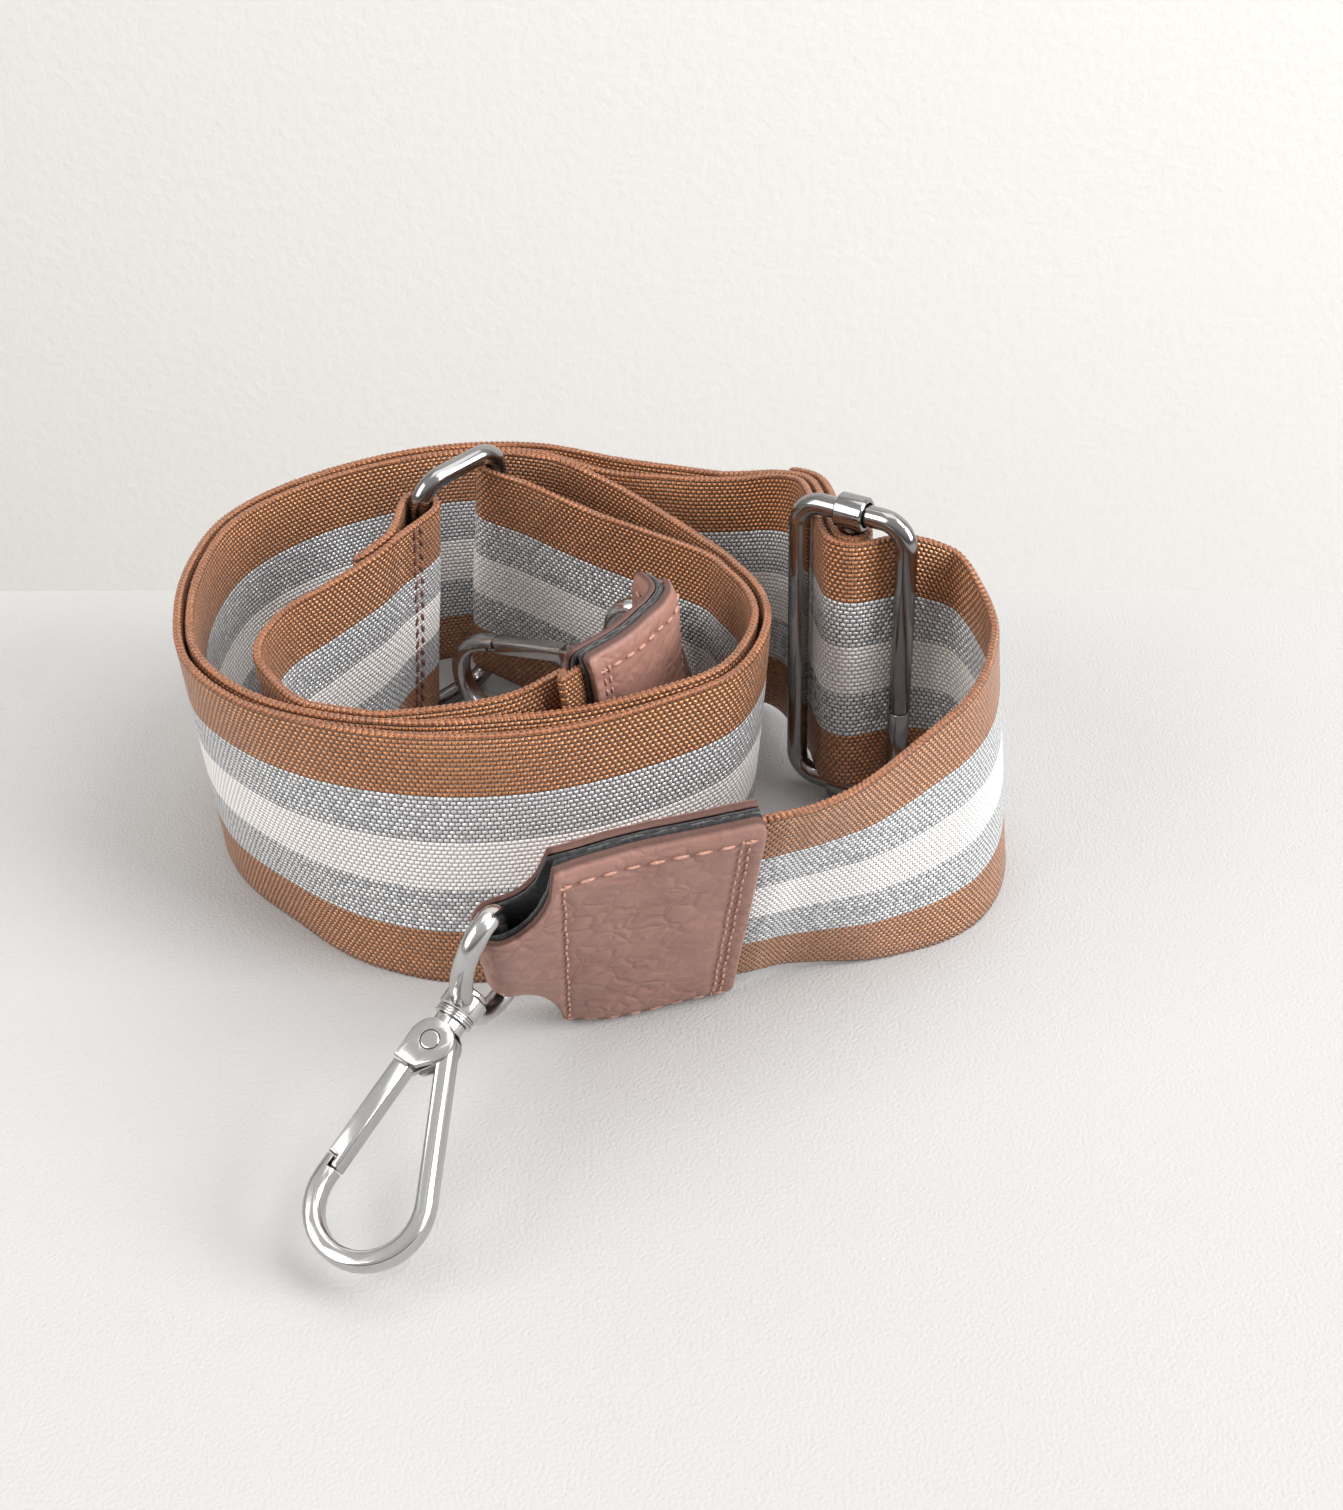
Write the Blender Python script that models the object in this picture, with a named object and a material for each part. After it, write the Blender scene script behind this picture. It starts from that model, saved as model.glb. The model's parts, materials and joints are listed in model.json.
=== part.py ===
"""Adjustable woven shoulder strap that clips onto a bag, standing on its edge in a loose coil.

One long webbing runs from the front leather tab through a slider, round the coil, through a
rectangular ring and back to the slider's movable bar, where its end is sewn. A short webbing
runs from the ring to the rear leather tab. Each tab folds round the eye of a swivel hook.
Units are metres, +Z is up, the viewer stands on the -Y side.
"""
import math

import bmesh
import bpy
import numpy as np
from mathutils import Matrix, Vector

# Webbing
webbing_width = 0.050
webbing_thickness = 0.0014
layer_gap = 0.0005
tail_length = 0.022
wrap_steps = 12
short_tail_length = 0.013

# Running clearances and common small values
fit_gap = 0.0003
strap_gap = 0.0004
cut_overrun = 0.001
merge_distance = 0.00001
facet_length = 0.0045
facet_turn = math.radians(13)
route_step = 0.00025

# Coil, seen from above
coil_span = 0.097

# Leather tabs
tab_overhang = 0.0025
tab_height = webbing_width + 2 * tab_overhang
tab_length = 0.0295
shoulder_length = 0.0085
tab_corner = 0.0015
neck_height = 0.0232
leather_thickness = 0.0010
lining_thickness = 0.0006
lining_inset = 0.0004
leather_gap = 0.0003
webbing_in_tab = 0.020
front_tab_reach = 0.0368

# Slider
slider_wire = 0.0038
slider_bar_wire = 0.0034
slider_pitch = 0.0100
slider_corner = 0.0045
slider_eye_band = 0.0008
slider_eye_width = 0.0052
slider_yaw = math.radians(-31)
slider_tilt = math.radians(-2)
slider_joint_share = 0.35
slider_edge_gap = 0.00015

# Adjuster ring
ring_wire = 0.0036
ring_pitch = 0.0178
ring_corner = 0.0048
ring_yaw = math.radians(46)
ring_lean = math.radians(11.5)
ring_tilt = math.radians(-4)
wire_joint_gap = 0.0002
ring_joint_share = 0.5
ring_edge_room = 0.0016

# Swivel hook, eye end
eye_wire = 0.0034
eye_half_bar = 0.0152
eye_depth = 0.0100
hub_radius = 0.0032
hub_length = 0.0030
hub_inset = 0.0011
turning_gap = 0.0001
post_radius = 0.0015
post_head_radius = 0.0024
post_head_length = 0.0009
collar_radius = 0.0030
collar_length = 0.0011
collar_groove = 0.0003

# Swivel hook, body end
head_radius = 0.0035
head_thickness = 0.0048
head_bevel = 0.0004
head_neck_radius = 0.0024
head_neck_length = 0.0008
post_socket_depth = 0.0010
bow_radius = 0.0094
bow_distance = 0.0238
bow_bar = 0.0027
bow_thickness = 0.0036
bow_round = 0.0009
nose_length = 0.0026
gate_width = 0.0028
gate_thickness = 0.0034
gate_round = 0.0005
gate_lap = 0.0016
gate_tongue = 0.0010
gate_start = 0.0046
gate_eye_radius = 0.0025
gate_seam = 0.00025
pin_radius = 0.00145
pin_proud = 0.00015
pin_gap = 0.0001
slot_width = 0.0032
slot_reach = 0.0028
spring_wire = 0.00035
spring_gap = 0.00045
spring_turns = 1.5

# The eye's outline from the hub to the bar, as shares of its depth and of half its bar
eye_shares = (
    (0.0, 0.0), (0.0, 0.20), (0.05, 0.46), (0.24, 0.77), (0.55, 0.96), (0.85, 0.985),
    (1.0, 0.87), (1.0, 0.40), (1.0, 0.0),
)

# Routes over the floor, as shares of the coil's span: x, y, then the top edge's shift in x and y
# as shares of the webbing's width, then the lift off the floor as a share of the span. In the
# coil the last share is the room to the next layer inside, over a layer's thickness and gap.
coil_shares = (
    (0.381, 0.385, 0.00, -0.04, 0.012),
    (0.227, 0.455, 0.02, -0.09, 0.026),
    (0.041, 0.530, 0.04, -0.11, 0.002),
    (-0.155, 0.515, 0.04, -0.11, 0.002),
    (-0.340, 0.402, 0.00, -0.10, 0.002),
    (-0.466, 0.230, -0.01, -0.06, 0.002),
    (-0.502, 0.060, -0.01, -0.03, 0.002),
    (-0.490, -0.100, -0.02, -0.04, 0.002),
    (-0.428, -0.222, -0.06, -0.08, 0.002),
    (-0.322, -0.327, -0.06, -0.10, 0.002),
    (-0.203, -0.424, -0.02, -0.04, 0.003),
    (-0.062, -0.476, 0.00, 0.00, 0.014),
    (0.068, -0.474, 0.00, 0.00, 0.024),
    (0.190, -0.447, 0.00, 0.00, 0.020),
    (0.312, -0.389, 0.00, 0.00, 0.013),
    (0.416, -0.294, 0.03, -0.02, 0.006),
    (0.462, -0.165, 0.05, 0.00, 0.002),
    (0.454, -0.031, 0.05, -0.04, 0.002),
    (0.392, 0.124, 0.04, -0.08, 0.004),
)
far_shares = (
    (0.278, 0.278, 0.04, -0.10, 0.000),
    (0.175, 0.365, 0.05, -0.12, 0.020),
    (0.085, 0.410, 0.07, -0.15, 0.045),
)
near_shares = (
    (0.253, 0.201, 0.04, -0.10, 0.000),
    (0.175, 0.247, 0.05, -0.12, 0.010),
    (0.096, 0.296, 0.06, -0.14, 0.025),
    (0.030, 0.328, 0.07, -0.16, 0.045),
)
run_shares = (
    (0.552, 0.227, 0.02, 0.02, 0.050),
    (0.515, 0.294, 0.00, -0.01, 0.030),
    (0.459, 0.333, 0.00, -0.04, 0.012),
)
bend_shares = (
    (0.514, -0.456, 0.06, -0.35, 0.022),
    (0.582, -0.441, 0.03, -0.31, 0.014),
    (0.652, -0.430, -0.03, -0.26, 0.006),
    (0.723, -0.409, -0.07, -0.19, 0.000),
    (0.794, -0.381, -0.10, -0.12, 0.000),
    (0.856, -0.336, -0.13, -0.09, 0.000),
    (0.905, -0.262, -0.15, -0.09, 0.000),
    (0.930, -0.180, -0.15, -0.10, 0.000),
    (0.935, -0.095, -0.13, -0.10, 0.000),
    (0.905, -0.020, -0.10, -0.08, 0.015),
    (0.850, 0.022, -0.06, -0.04, 0.040),
)
curl_shares = (
    (-0.186, 0.155, 0.08, -0.18, 0.045),
    (-0.214, 0.105, 0.07, -0.14, 0.025),
    (-0.258, 0.050, 0.06, -0.12, 0.010),
    (-0.297, -0.015, 0.04, -0.09, 0.000),
    (-0.325, -0.080, 0.02, -0.06, 0.000),
    (-0.338, -0.150, 0.00, -0.04, 0.000),
    (-0.330, -0.225, -0.03, -0.04, 0.000),
    (-0.289, -0.298, -0.03, -0.06, 0.000),
)
follow_shares = (0.60, 0.665)
front_short_shares = (
    (0.061, -0.385, 0.00, -0.02, 0.012),
    (0.132, -0.345, -0.03, -0.06, 0.025),
    (0.195, -0.285, -0.07, -0.13, 0.040),
)

# Places of the fastened pieces, as shares of the coil's span
slider_place_shares = (0.658, 0.021)
ring_place_shares = (-0.108, 0.340)
front_tab_start_shares = (0.422, -0.490, 0.068, -0.355, 0.000)
front_tab_yaw = math.radians(196.9)
front_bar_height_share = 0.515
front_neck_rise = 0.0020
front_hook_yaw = math.radians(-126)
front_hook_pitch = math.radians(-24)
front_hook_roll = math.radians(-5)
rear_tab_shares = (
    (0.238, -0.260, -0.10, -0.18, 0.030),
    (0.287, -0.171, -0.08, -0.19, 0.018),
    (0.318, -0.083, -0.06, -0.19, 0.006),
    (0.338, -0.010, -0.05, -0.18, 0.000),
)
rear_bar_shares = (0.338, 0.083, -0.05, -0.18, 0.000)
rear_tab_length_share = 0.30412
rear_bar_height_share = 0.49
rear_hook_yaw = math.radians(149)
rear_hook_pitch = math.radians(-12.5)
rear_hook_roll = math.radians(-90)

MATERIALS = {
    "copper_webbing": ((0.36, 0.17, 0.09, 1.0), 0.62, 0.0),
    "leather": ((0.23, 0.115, 0.095, 1.0), 0.55, 0.0),
    "lining": ((0.012, 0.011, 0.011, 1.0), 0.80, 0.0),
    "nickel": ((0.62, 0.61, 0.60, 1.0), 0.16, 1.0),
    "gunmetal": ((0.22, 0.22, 0.23, 1.0), 0.18, 1.0),
}


def clear_scene():
    """Remove every object, so that the script can be run again in an open file."""
    for thing in list(bpy.data.objects):
        bpy.data.objects.remove(thing, do_unlink=True)


def finish(name):
    """Return the Principled material called name."""
    if name in bpy.data.materials:
        return bpy.data.materials[name]
    colour, roughness, metallic = MATERIALS[name]
    material = bpy.data.materials.new(name)
    material.use_nodes = True
    shader = material.node_tree.nodes["Principled BSDF"]
    shader.inputs["Base Color"].default_value = colour
    shader.inputs["Roughness"].default_value = roughness
    shader.inputs["Metallic"].default_value = metallic
    return material


def add_object(name, mesh, material, parent=None):
    """Link a mesh as a named object with its own copy of a material."""
    node = bpy.data.objects.new(name, mesh)
    bpy.context.collection.objects.link(node)
    own = finish(material).copy()
    own.name = name + "_" + material
    mesh.materials.clear()
    mesh.materials.append(own)
    if parent is not None:
        node.parent = parent
    return node


def add_empty(name, matrix, parent=None):
    """Add an empty whose frame lies on a joint's axis."""
    empty = bpy.data.objects.new(name, None)
    empty.empty_display_size = webbing_width
    bpy.context.collection.objects.link(empty)
    if parent is not None:
        empty.parent = parent
    empty.matrix_local = matrix
    return empty


def smooth_mesh(mesh):
    """Shade a mesh smooth with its hard edges kept."""
    mesh.shade_smooth()
    mesh.set_sharp_from_angle(angle=math.radians(38))


def mesh_from(bm, name, smooth=True):
    """Write a bmesh to a new mesh with its faces pointing out."""
    bmesh.ops.recalc_face_normals(bm, faces=bm.faces)
    mesh = bpy.data.meshes.new(name)
    bm.to_mesh(mesh)
    bm.free()
    if smooth:
        smooth_mesh(mesh)
    return mesh


def unit(vector):
    """Return a vector at length one."""
    return vector / np.linalg.norm(vector)


def loft(sections, name, closed=False):
    """Join equal loops of points into one closed skin."""
    bm = bmesh.new()
    rings = [[bm.verts.new(point) for point in section] for section in sections]
    pairs = list(zip(rings, rings[1:]))
    if closed:
        pairs.append((rings[-1], rings[0]))
    for near, far in pairs:
        for index in range(len(near)):
            after = (index + 1) % len(near)
            bm.faces.new((near[index], near[after], far[after], far[index]))
    if not closed:
        bm.faces.new(list(reversed(rings[0])))
        bm.faces.new(rings[-1])
    return mesh_from(bm, name)


def spline_through(rows, step):
    """Return a smooth curve through rows whose first three values are a place.

    It is a centripetal Catmull-Rom spline, so uneven steps make no loops.
    """
    rows = np.asarray(rows, float)
    ends = (2 * rows[0] - rows[1], 2 * rows[-1] - rows[-2])
    ring = np.vstack((ends[0], rows, ends[1]))
    knots = [0.0]
    for near, far in zip(ring, ring[1:]):
        knots.append(knots[-1] + max(math.sqrt(np.linalg.norm(far[:3] - near[:3])), 1e-6))
    curve = [rows[0]]
    for index in range(1, len(ring) - 2):
        p0, p1, p2, p3 = ring[index - 1:index + 3]
        t0, t1, t2, t3 = knots[index - 1:index + 3]
        count = max(2, int(np.linalg.norm(p2[:3] - p1[:3]) / step))
        for t in np.linspace(t1, t2, count + 1)[1:]:
            a1 = ((t1 - t) * p0 + (t - t0) * p1) / (t1 - t0)
            a2 = ((t2 - t) * p1 + (t - t1) * p2) / (t2 - t1)
            a3 = ((t3 - t) * p2 + (t - t2) * p3) / (t3 - t2)
            b1 = ((t2 - t) * a1 + (t - t0) * a2) / (t2 - t0)
            b2 = ((t3 - t) * a2 + (t - t1) * a3) / (t3 - t1)
            curve.append(((t2 - t) * b1 + (t - t1) * b2) / (t2 - t1))
    return np.array(curve)


class Band:
    """A flat band's route: mid-line places and the band's width direction at each."""

    def __init__(self, places, ups):
        self.places = np.asarray(places, float)
        ups = np.asarray(ups, float)
        self.ups = ups / np.linalg.norm(ups, axis=1)[:, None]
        self.lengths = np.concatenate(
            ([0.0], np.cumsum(np.linalg.norm(np.diff(self.places, axis=0), axis=1))))

    def normals(self):
        """Return the direction out of the band's left face at each place."""
        tangents = np.gradient(self.places, axis=0)
        sides = np.cross(self.ups, tangents)
        return sides / np.linalg.norm(sides, axis=1)[:, None]

    def offset(self, distances):
        """Return the route moved to the left by a distance, or by one for each place."""
        shift = np.asarray(distances, float) * np.ones(len(self.places))
        return Band(self.places + self.normals() * shift[:, None], self.ups)

    def part(self, start, end):
        """Return the stretch between two lengths along the route."""
        chosen = (self.lengths >= start) & (self.lengths <= end)
        return Band(self.places[chosen], self.ups[chosen])

    def reversed(self):
        """Return the same route walked the other way."""
        return Band(self.places[::-1], self.ups[::-1])

    def stations(self, always=()):
        """Return indices along the route, closer together where it turns."""
        tangents = np.gradient(self.places, axis=0)
        tangents /= np.linalg.norm(tangents, axis=1)[:, None]
        kept = [0]
        for index in range(1, len(self.places) - 1):
            last = kept[-1]
            far = self.lengths[index] - self.lengths[last] >= facet_length
            cosine = float(np.clip(tangents[index] @ tangents[last], -1, 1))
            marked = any(self.lengths[index - 1] < mark <= self.lengths[index] for mark in always)
            if far or marked or math.acos(cosine) >= facet_turn:
                kept.append(index)
        kept.append(len(self.places) - 1)
        return kept


def join_bands(bands):
    """Run one smooth route through several bands laid end to end."""
    rows = np.vstack([np.hstack((band.places, band.ups)) for band in bands])
    curve = spline_through(rows, route_step)
    return Band(curve[:, :3], curve[:, 3:])


def floor_rows(table):
    """Turn rows of shares into mid-line places and width directions above the floor."""
    places, ups = [], []
    for row in table:
        x, y, lift = row[0] * coil_span, row[1] * coil_span, row[4] * coil_span
        shift_x, shift_y = row[2] * webbing_width, row[3] * webbing_width
        rise = math.sqrt(webbing_width ** 2 - shift_x ** 2 - shift_y ** 2)
        up = np.array((shift_x, shift_y, rise))
        places.append(np.array((x, y, lift)) + up / 2)
        ups.append(up)
    return Band(places, ups)


def axis_route(centre, up, radius, start, end, steps=7):
    """Walk round an axis at a radius from one angle to another, measured in plan."""
    up = unit(np.asarray(up, float))
    side = unit(np.cross((0.0, 1.0, 0.0), up))
    back = np.cross(up, side)
    angles = np.linspace(start, end, steps)
    places = [centre + radius * (math.cos(a) * side + math.sin(a) * back) for a in angles]
    return Band(places, [up] * steps)


def tangent_angles(first, first_radius, second, second_radius):
    """Return the plan angle at which a taut band leaves one circle and meets the next.

    A positive radius keeps the circle's centre on the left of the walk, a negative one on the
    right, and a radius of zero is a point.
    """
    gap = np.asarray(second, float)[:2] - np.asarray(first, float)[:2]
    heading = math.atan2(gap[1], gap[0])
    turn = math.asin(np.clip((second_radius - first_radius) / math.hypot(*gap), -1, 1))
    direction = heading - turn
    leave = direction - math.copysign(math.pi / 2, first_radius)
    meet = direction - math.copysign(math.pi / 2, second_radius)
    return leave, meet


def taut_route(stops):
    """Wrap a band round a chain of posts: each stop is centre, up and signed radius."""
    angles = []
    for near, far in zip(stops, stops[1:]):
        angles.append(tangent_angles(near[0], near[2], far[0], far[2]))
    bands = []
    for index, (centre, up, radius) in enumerate(stops):
        if radius == 0 or index in (0, len(stops) - 1):
            if radius == 0:
                bands.append(Band([centre], [up]))
            continue
        start, way = angles[index - 1][1], math.copysign(1.0, radius)
        swing = way * (angles[index][0] - start) % (2 * math.pi)
        if swing > 1.7 * math.pi:
            middle = start + way * (swing / 2 - math.pi)
            bands.append(axis_route(centre, up, abs(radius), middle, middle, 1))
        else:
            bands.append(axis_route(centre, up, abs(radius), start, start + way * swing))
    return bands


def band_mesh(route, thickness, half_widths, name, pattern=None):
    """Loft a band of a given thickness, trimmed flat where it stands on the floor.

    A route offset from another one takes its stations and widths from it, as its pattern.
    """
    pattern = pattern or route
    normals = route.normals()
    rows = np.linspace(-1.0, 1.0, half_widths.rows)
    sections = []
    for index in pattern.stations(half_widths.marks):
        half = half_widths(pattern.lengths[index])
        middle, up, side = route.places[index], route.ups[index], normals[index] * thickness / 2
        corners = [middle + up * half * row + side for row in rows]
        corners += [middle + up * half * row - side for row in reversed(rows)]
        for corner in corners:
            corner[2] = max(corner[2], 0.0)
        sections.append(corners)
    bm = bmesh.new()
    rings = [[bm.verts.new(point) for point in section] for section in sections]
    count = len(rings[0])
    for near, far in zip(rings, rings[1:]):
        for index in range(count):
            after = (index + 1) % count
            low, high = (index, after) if index < count // 2 else (after, index)
            bm.faces.new((near[low], near[high], far[high]))
            bm.faces.new((near[low], far[high], far[low]))
    for ring in (rings[0], rings[-1]):
        for index in range(count // 2 - 1):
            bm.faces.new((ring[index], ring[index + 1], ring[-2 - index], ring[-1 - index]))
    return mesh_from(bm, name)


class EvenWidth:
    """Half the width of a webbing, the same all along."""

    marks = ()
    rows = 3

    def __call__(self, length):
        return webbing_width / 2


class TabWidth:
    """Half the height of a folded leather tab along its whole unfolded length."""

    rows = 5

    def __init__(self, total, inset=0.0):
        self.total = total
        self.inset = inset
        ends = (tab_corner * (1 - math.cos(math.radians(45))), tab_corner)
        steps = [tab_length + shoulder_length * share for share in (0.0, 0.02, 0.12, 0.3, 0.6, 1.0)]
        marks = [*ends, *steps]
        self.marks = tuple(marks + [total - mark for mark in marks])

    def __call__(self, length):
        along = min(length, self.total - length)
        high, low = tab_height / 2, neck_height / 2
        if along < tab_corner:
            drop = tab_corner - math.sqrt(tab_corner ** 2 - (tab_corner - along) ** 2)
            return high - drop - self.inset
        if along <= tab_length:
            return high - self.inset
        if along >= tab_length + shoulder_length:
            return low - self.inset
        share = 1 - (along - tab_length) / shoulder_length
        return low + (high - low) * (1 - math.sqrt(1 - share ** 2)) - self.inset


def plan_point(shares, height):
    """Return a place over the floor from shares of the coil's span."""
    return np.array((shares[0] * coil_span, shares[1] * coil_span, height))


def turned(yaw, pitch):
    """Return the direction with a heading over the floor and a rise."""
    return np.array((math.cos(yaw) * math.cos(pitch), math.sin(yaw) * math.cos(pitch),
                     math.sin(pitch)))


class Loop:
    """A rectangular wire loop standing on a short side, with its frame in the world."""

    def __init__(self, place_shares, yaw, lean, tilt, wire, pitch, corner, inner_height, stand):
        self.wire, self.pitch, self.corner = wire, pitch, corner
        self.height = inner_height + wire
        base = plan_point(place_shares, 0.0)
        turn = (Matrix.Rotation(yaw, 4, "Z") @ Matrix.Rotation(lean, 4, "X")
                @ Matrix.Rotation(tilt, 4, "Y"))
        corners = [turn @ Vector((side * (pitch / 2 - corner), 0, 0)) for side in (-1, 1)]
        lift = wire / 2 - min(corner_place.z for corner_place in corners)
        lift += stand
        self.frame = Matrix.Translation(Vector(base) + Vector((0, 0, lift))) @ turn
        self.up = np.array(turn @ Vector((0, 0, 1)))

    def bar_place(self, side, height):
        """Return a place on a long bar's axis, height above the lower short side's axis."""
        return np.array(self.frame @ Vector((side * self.pitch / 2, 0, height)))


def make_slider_loop():
    """Place the slider's frame."""
    inner = webbing_width + 2 * (slider_eye_band + fit_gap + slider_edge_gap)
    return Loop(slider_place_shares, slider_yaw, 0.0, slider_tilt, slider_wire,
                2 * slider_pitch, slider_corner, inner, slider_eye_band + fit_gap)


def make_ring_loop():
    """Place the adjuster ring."""
    return Loop(ring_place_shares, ring_yaw, ring_lean, ring_tilt, ring_wire, ring_pitch,
                ring_corner, webbing_width + 2 * ring_edge_room, 0.0)


def loop_wire(loop, joint_side, joint_height, sides=12):
    """Sweep a round wire round a rectangle with round corners, open by a fine butt joint."""
    half, tall, corner = loop.pitch / 2, loop.height, loop.corner
    spots = []
    centres = ((half - corner, corner, -90), (half - corner, tall - corner, 0),
               (corner - half, tall - corner, 90), (corner - half, corner, 180))
    for x, z, first in centres:
        for angle in np.radians(np.linspace(first, first + 90, 8)):
            spots.append((x + corner * math.cos(angle), z + corner * math.sin(angle)))
    if joint_side > 0:
        spots = spots[8:] + spots[:8]
        start, end = (half, joint_height + wire_joint_gap / 2), (half, joint_height - wire_joint_gap / 2)
    else:
        spots = spots[24:] + spots[:24]
        start, end = (-half, joint_height - wire_joint_gap / 2), (-half, joint_height + wire_joint_gap / 2)
    path = [start] + spots + [end]
    sections = []
    for index, (x, z) in enumerate(path):
        before, after = path[max(index - 1, 0)], path[min(index + 1, len(path) - 1)]
        tangent = unit(np.array((after[0] - before[0], after[1] - before[1])))
        outward = np.array((tangent[1], 0.0, -tangent[0]))
        across = np.array((0.0, 1.0, 0.0))
        section = []
        for side in range(sides):
            angle = 2 * math.pi * side / sides
            spoke = math.cos(angle) * outward + math.sin(angle) * across
            section.append(np.array((x, 0.0, z)) + spoke * loop.wire / 2)
        sections.append(section)
    return loft(sections, "wire_loop")


def layer_step():
    """Return the distance between two webbing layers' middles where they lie together."""
    return webbing_thickness + layer_gap


def coil_bands():
    """Return the coil's outer layer walked anticlockwise, and the layer inside it."""
    rows = floor_rows([(*row[:4], 0.0) for row in coil_shares])
    room = np.array([row[4] for row in coil_shares])[:, None] * coil_span
    curve = spline_through(np.hstack((rows.places, rows.ups, room)), route_step)
    outer = Band(curve[:, :3], curve[:, 3:6])
    inner = outer.offset(layer_step() + curve[:, 6])
    return outer, inner


def wrap_radius(wire, layers=0):
    """Return the radius of a webbing's middle round a wire, over a number of other layers."""
    return wire / 2 + strap_gap + webbing_thickness / 2 + layers * layer_step()


def slider_middle(slider, side):
    """Return the place on one of the slider's three bars at the webbing's middle."""
    height = slider_wire / 2 + slider_eye_band + fit_gap + slider_edge_gap + webbing_width / 2
    return slider.bar_place(side, height)


def ring_middle(ring, side):
    """Return the place on one of the ring's long bars at the webbing's middle."""
    return ring.bar_place(side, ring_wire / 2 + ring_edge_room + webbing_width / 2)


def thinned(band, distance):
    """Return a route with places about a distance apart."""
    step = max(1, int(distance / route_step))
    picked = list(range(0, len(band.places), step))
    return Band(band.places[picked], band.ups[picked])


def webbing_in(tab_middle):
    """Return a webbing's way into a tab, from one facet before the tab's wide end."""
    inside = tab_middle.part(0, webbing_in_tab)
    start = inside.places[0]
    lead = start + unit(start - inside.places[4]) * facet_length
    return Band(np.vstack((lead, inside.places)), np.vstack((inside.ups[0], inside.ups)))


def long_webbing_route(slider, ring, tab_middle):
    """Walk the long webbing from inside the front tab to its sewn end at the slider's bar."""
    outer, inner = coil_bands()
    up = slider.up
    right, centre, left = (slider_middle(slider, side) for side in (1, 0, -1))
    bend = floor_rows(bend_shares)
    run = floor_rows(run_shares)
    frame_wrap = wrap_radius(slider_wire)

    stops = [(bend.places[-1], bend.ups[-1], 0), (right, up, frame_wrap),
             (centre, up, -wrap_radius(slider_bar_wire, 1)), (left, up, frame_wrap),
             (run.places[0], run.ups[0], 0)]
    _, right_wrap, front_pass, left_wrap, _ = taut_route(stops)
    inner_places = thinned(inner, facet_length)
    back_run = join_bands([left_wrap, run, inner_places.part(0, 0)])

    far = floor_rows(far_shares)
    near = floor_rows(near_shares)
    ring_wrap = taut_route([
        (near.places[-1], near.ups[-1], 0), (ring_middle(ring, 1), ring.up, -wrap_radius(ring_wire)),
        (far.places[-1], far.ups[-1], 0)])[1]

    main_run = back_run.offset(-layer_step())
    main_run = thinned(main_run.part(0, main_run.lengths[-1] - facet_length), layer_step())
    own_wrap = wrap_radius(slider_bar_wire)
    start = tangent_angles(left, -wrap_radius(slider_wire, 1), centre, own_wrap)[1]
    end, meet = tangent_angles(centre, own_wrap, left, wrap_radius(slider_wire, 2))
    while end < start:
        end += 2 * math.pi
    bar_wrap = axis_route(centre, up, own_wrap, start, end, wrap_steps)
    tail_run = back_run.offset(-2 * layer_step())
    over = tail_run.places - left
    angle = np.unwrap(np.arctan2(over[:, 1], over[:, 0]))
    while meet < angle[0] - math.pi:
        meet += 2 * math.pi
    while meet > angle[0] + math.pi:
        meet -= 2 * math.pi
    first = int(np.argmax(angle >= meet))
    tail_run = Band(tail_run.places[first:], tail_run.ups[first:]).part(0, tail_length)

    return join_bands([
        webbing_in(tab_middle).reversed(), bend, right_wrap, front_pass, left_wrap,
        run, inner_places, near, ring_wrap, far.reversed(), thinned(outer, facet_length).reversed(),
        main_run.reversed(), bar_wrap, thinned(tail_run, layer_step())])


def short_webbing_route(ring, tab_middle):
    """Walk the short webbing from its sewn end at the ring to inside the rear tab."""
    _, inner = coil_bands()
    curl = join_bands([floor_rows(curl_shares)])
    tail = curl.offset(-layer_step()).part(0, short_tail_length)
    ring_wrap = taut_route([
        (tail.places[0], tail.ups[0], 0), (ring_middle(ring, -1), ring.up, -wrap_radius(ring_wire)),
        (curl.places[0], curl.ups[0], 0)])[1]
    beside = inner.offset(layer_step())
    total = beside.lengths[-1]
    follow = beside.part(follow_shares[0] * total, follow_shares[1] * total)
    return join_bands([
        thinned(tail, facet_length).reversed(), ring_wrap, thinned(curl, facet_length),
        thinned(follow, facet_length), floor_rows(front_short_shares), webbing_in(tab_middle)])


def raised(band, distance):
    """Return a route moved along the band's width direction."""
    return Band(band.places + band.ups * distance, band.ups)


def front_tab_middle(bar_direction):
    """Walk the front tab's mid-plane from its wide end to the hook eye's bar."""
    start = raised(floor_rows([front_tab_start_shares]), tab_overhang)
    up = start.ups[0]
    along = turned(front_tab_yaw, 0.0)
    along = unit(along - up * (along @ up))
    side = np.cross(up, along)
    lift = abs(side[2]) * (webbing_thickness / 2 + lining_thickness + leather_thickness
                           + 2 * leather_gap)
    first = start.places[0] + np.array((0.0, 0.0, lift))
    places = [first + along * reach for reach in (0.0, webbing_in_tab / 2, webbing_in_tab)]
    places.append(first + along * front_tab_reach + up * front_neck_rise)
    return join_bands([Band(places, [up, up, up, bar_direction])])


def rear_tab_middle(bar_direction):
    """Walk the rear tab's mid-plane from its wide end to the hook eye's bar."""
    rows = raised(floor_rows([*rear_tab_shares, rear_bar_shares]), tab_overhang)
    stretch = tab_length / (rear_tab_length_share * coil_span)
    centre = rows.places[len(rows.places) // 2]
    places = centre + (rows.places - centre) * (stretch, stretch, 1)
    return join_bands([Band(places, [*rows.ups[:-1], bar_direction])])


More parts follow.
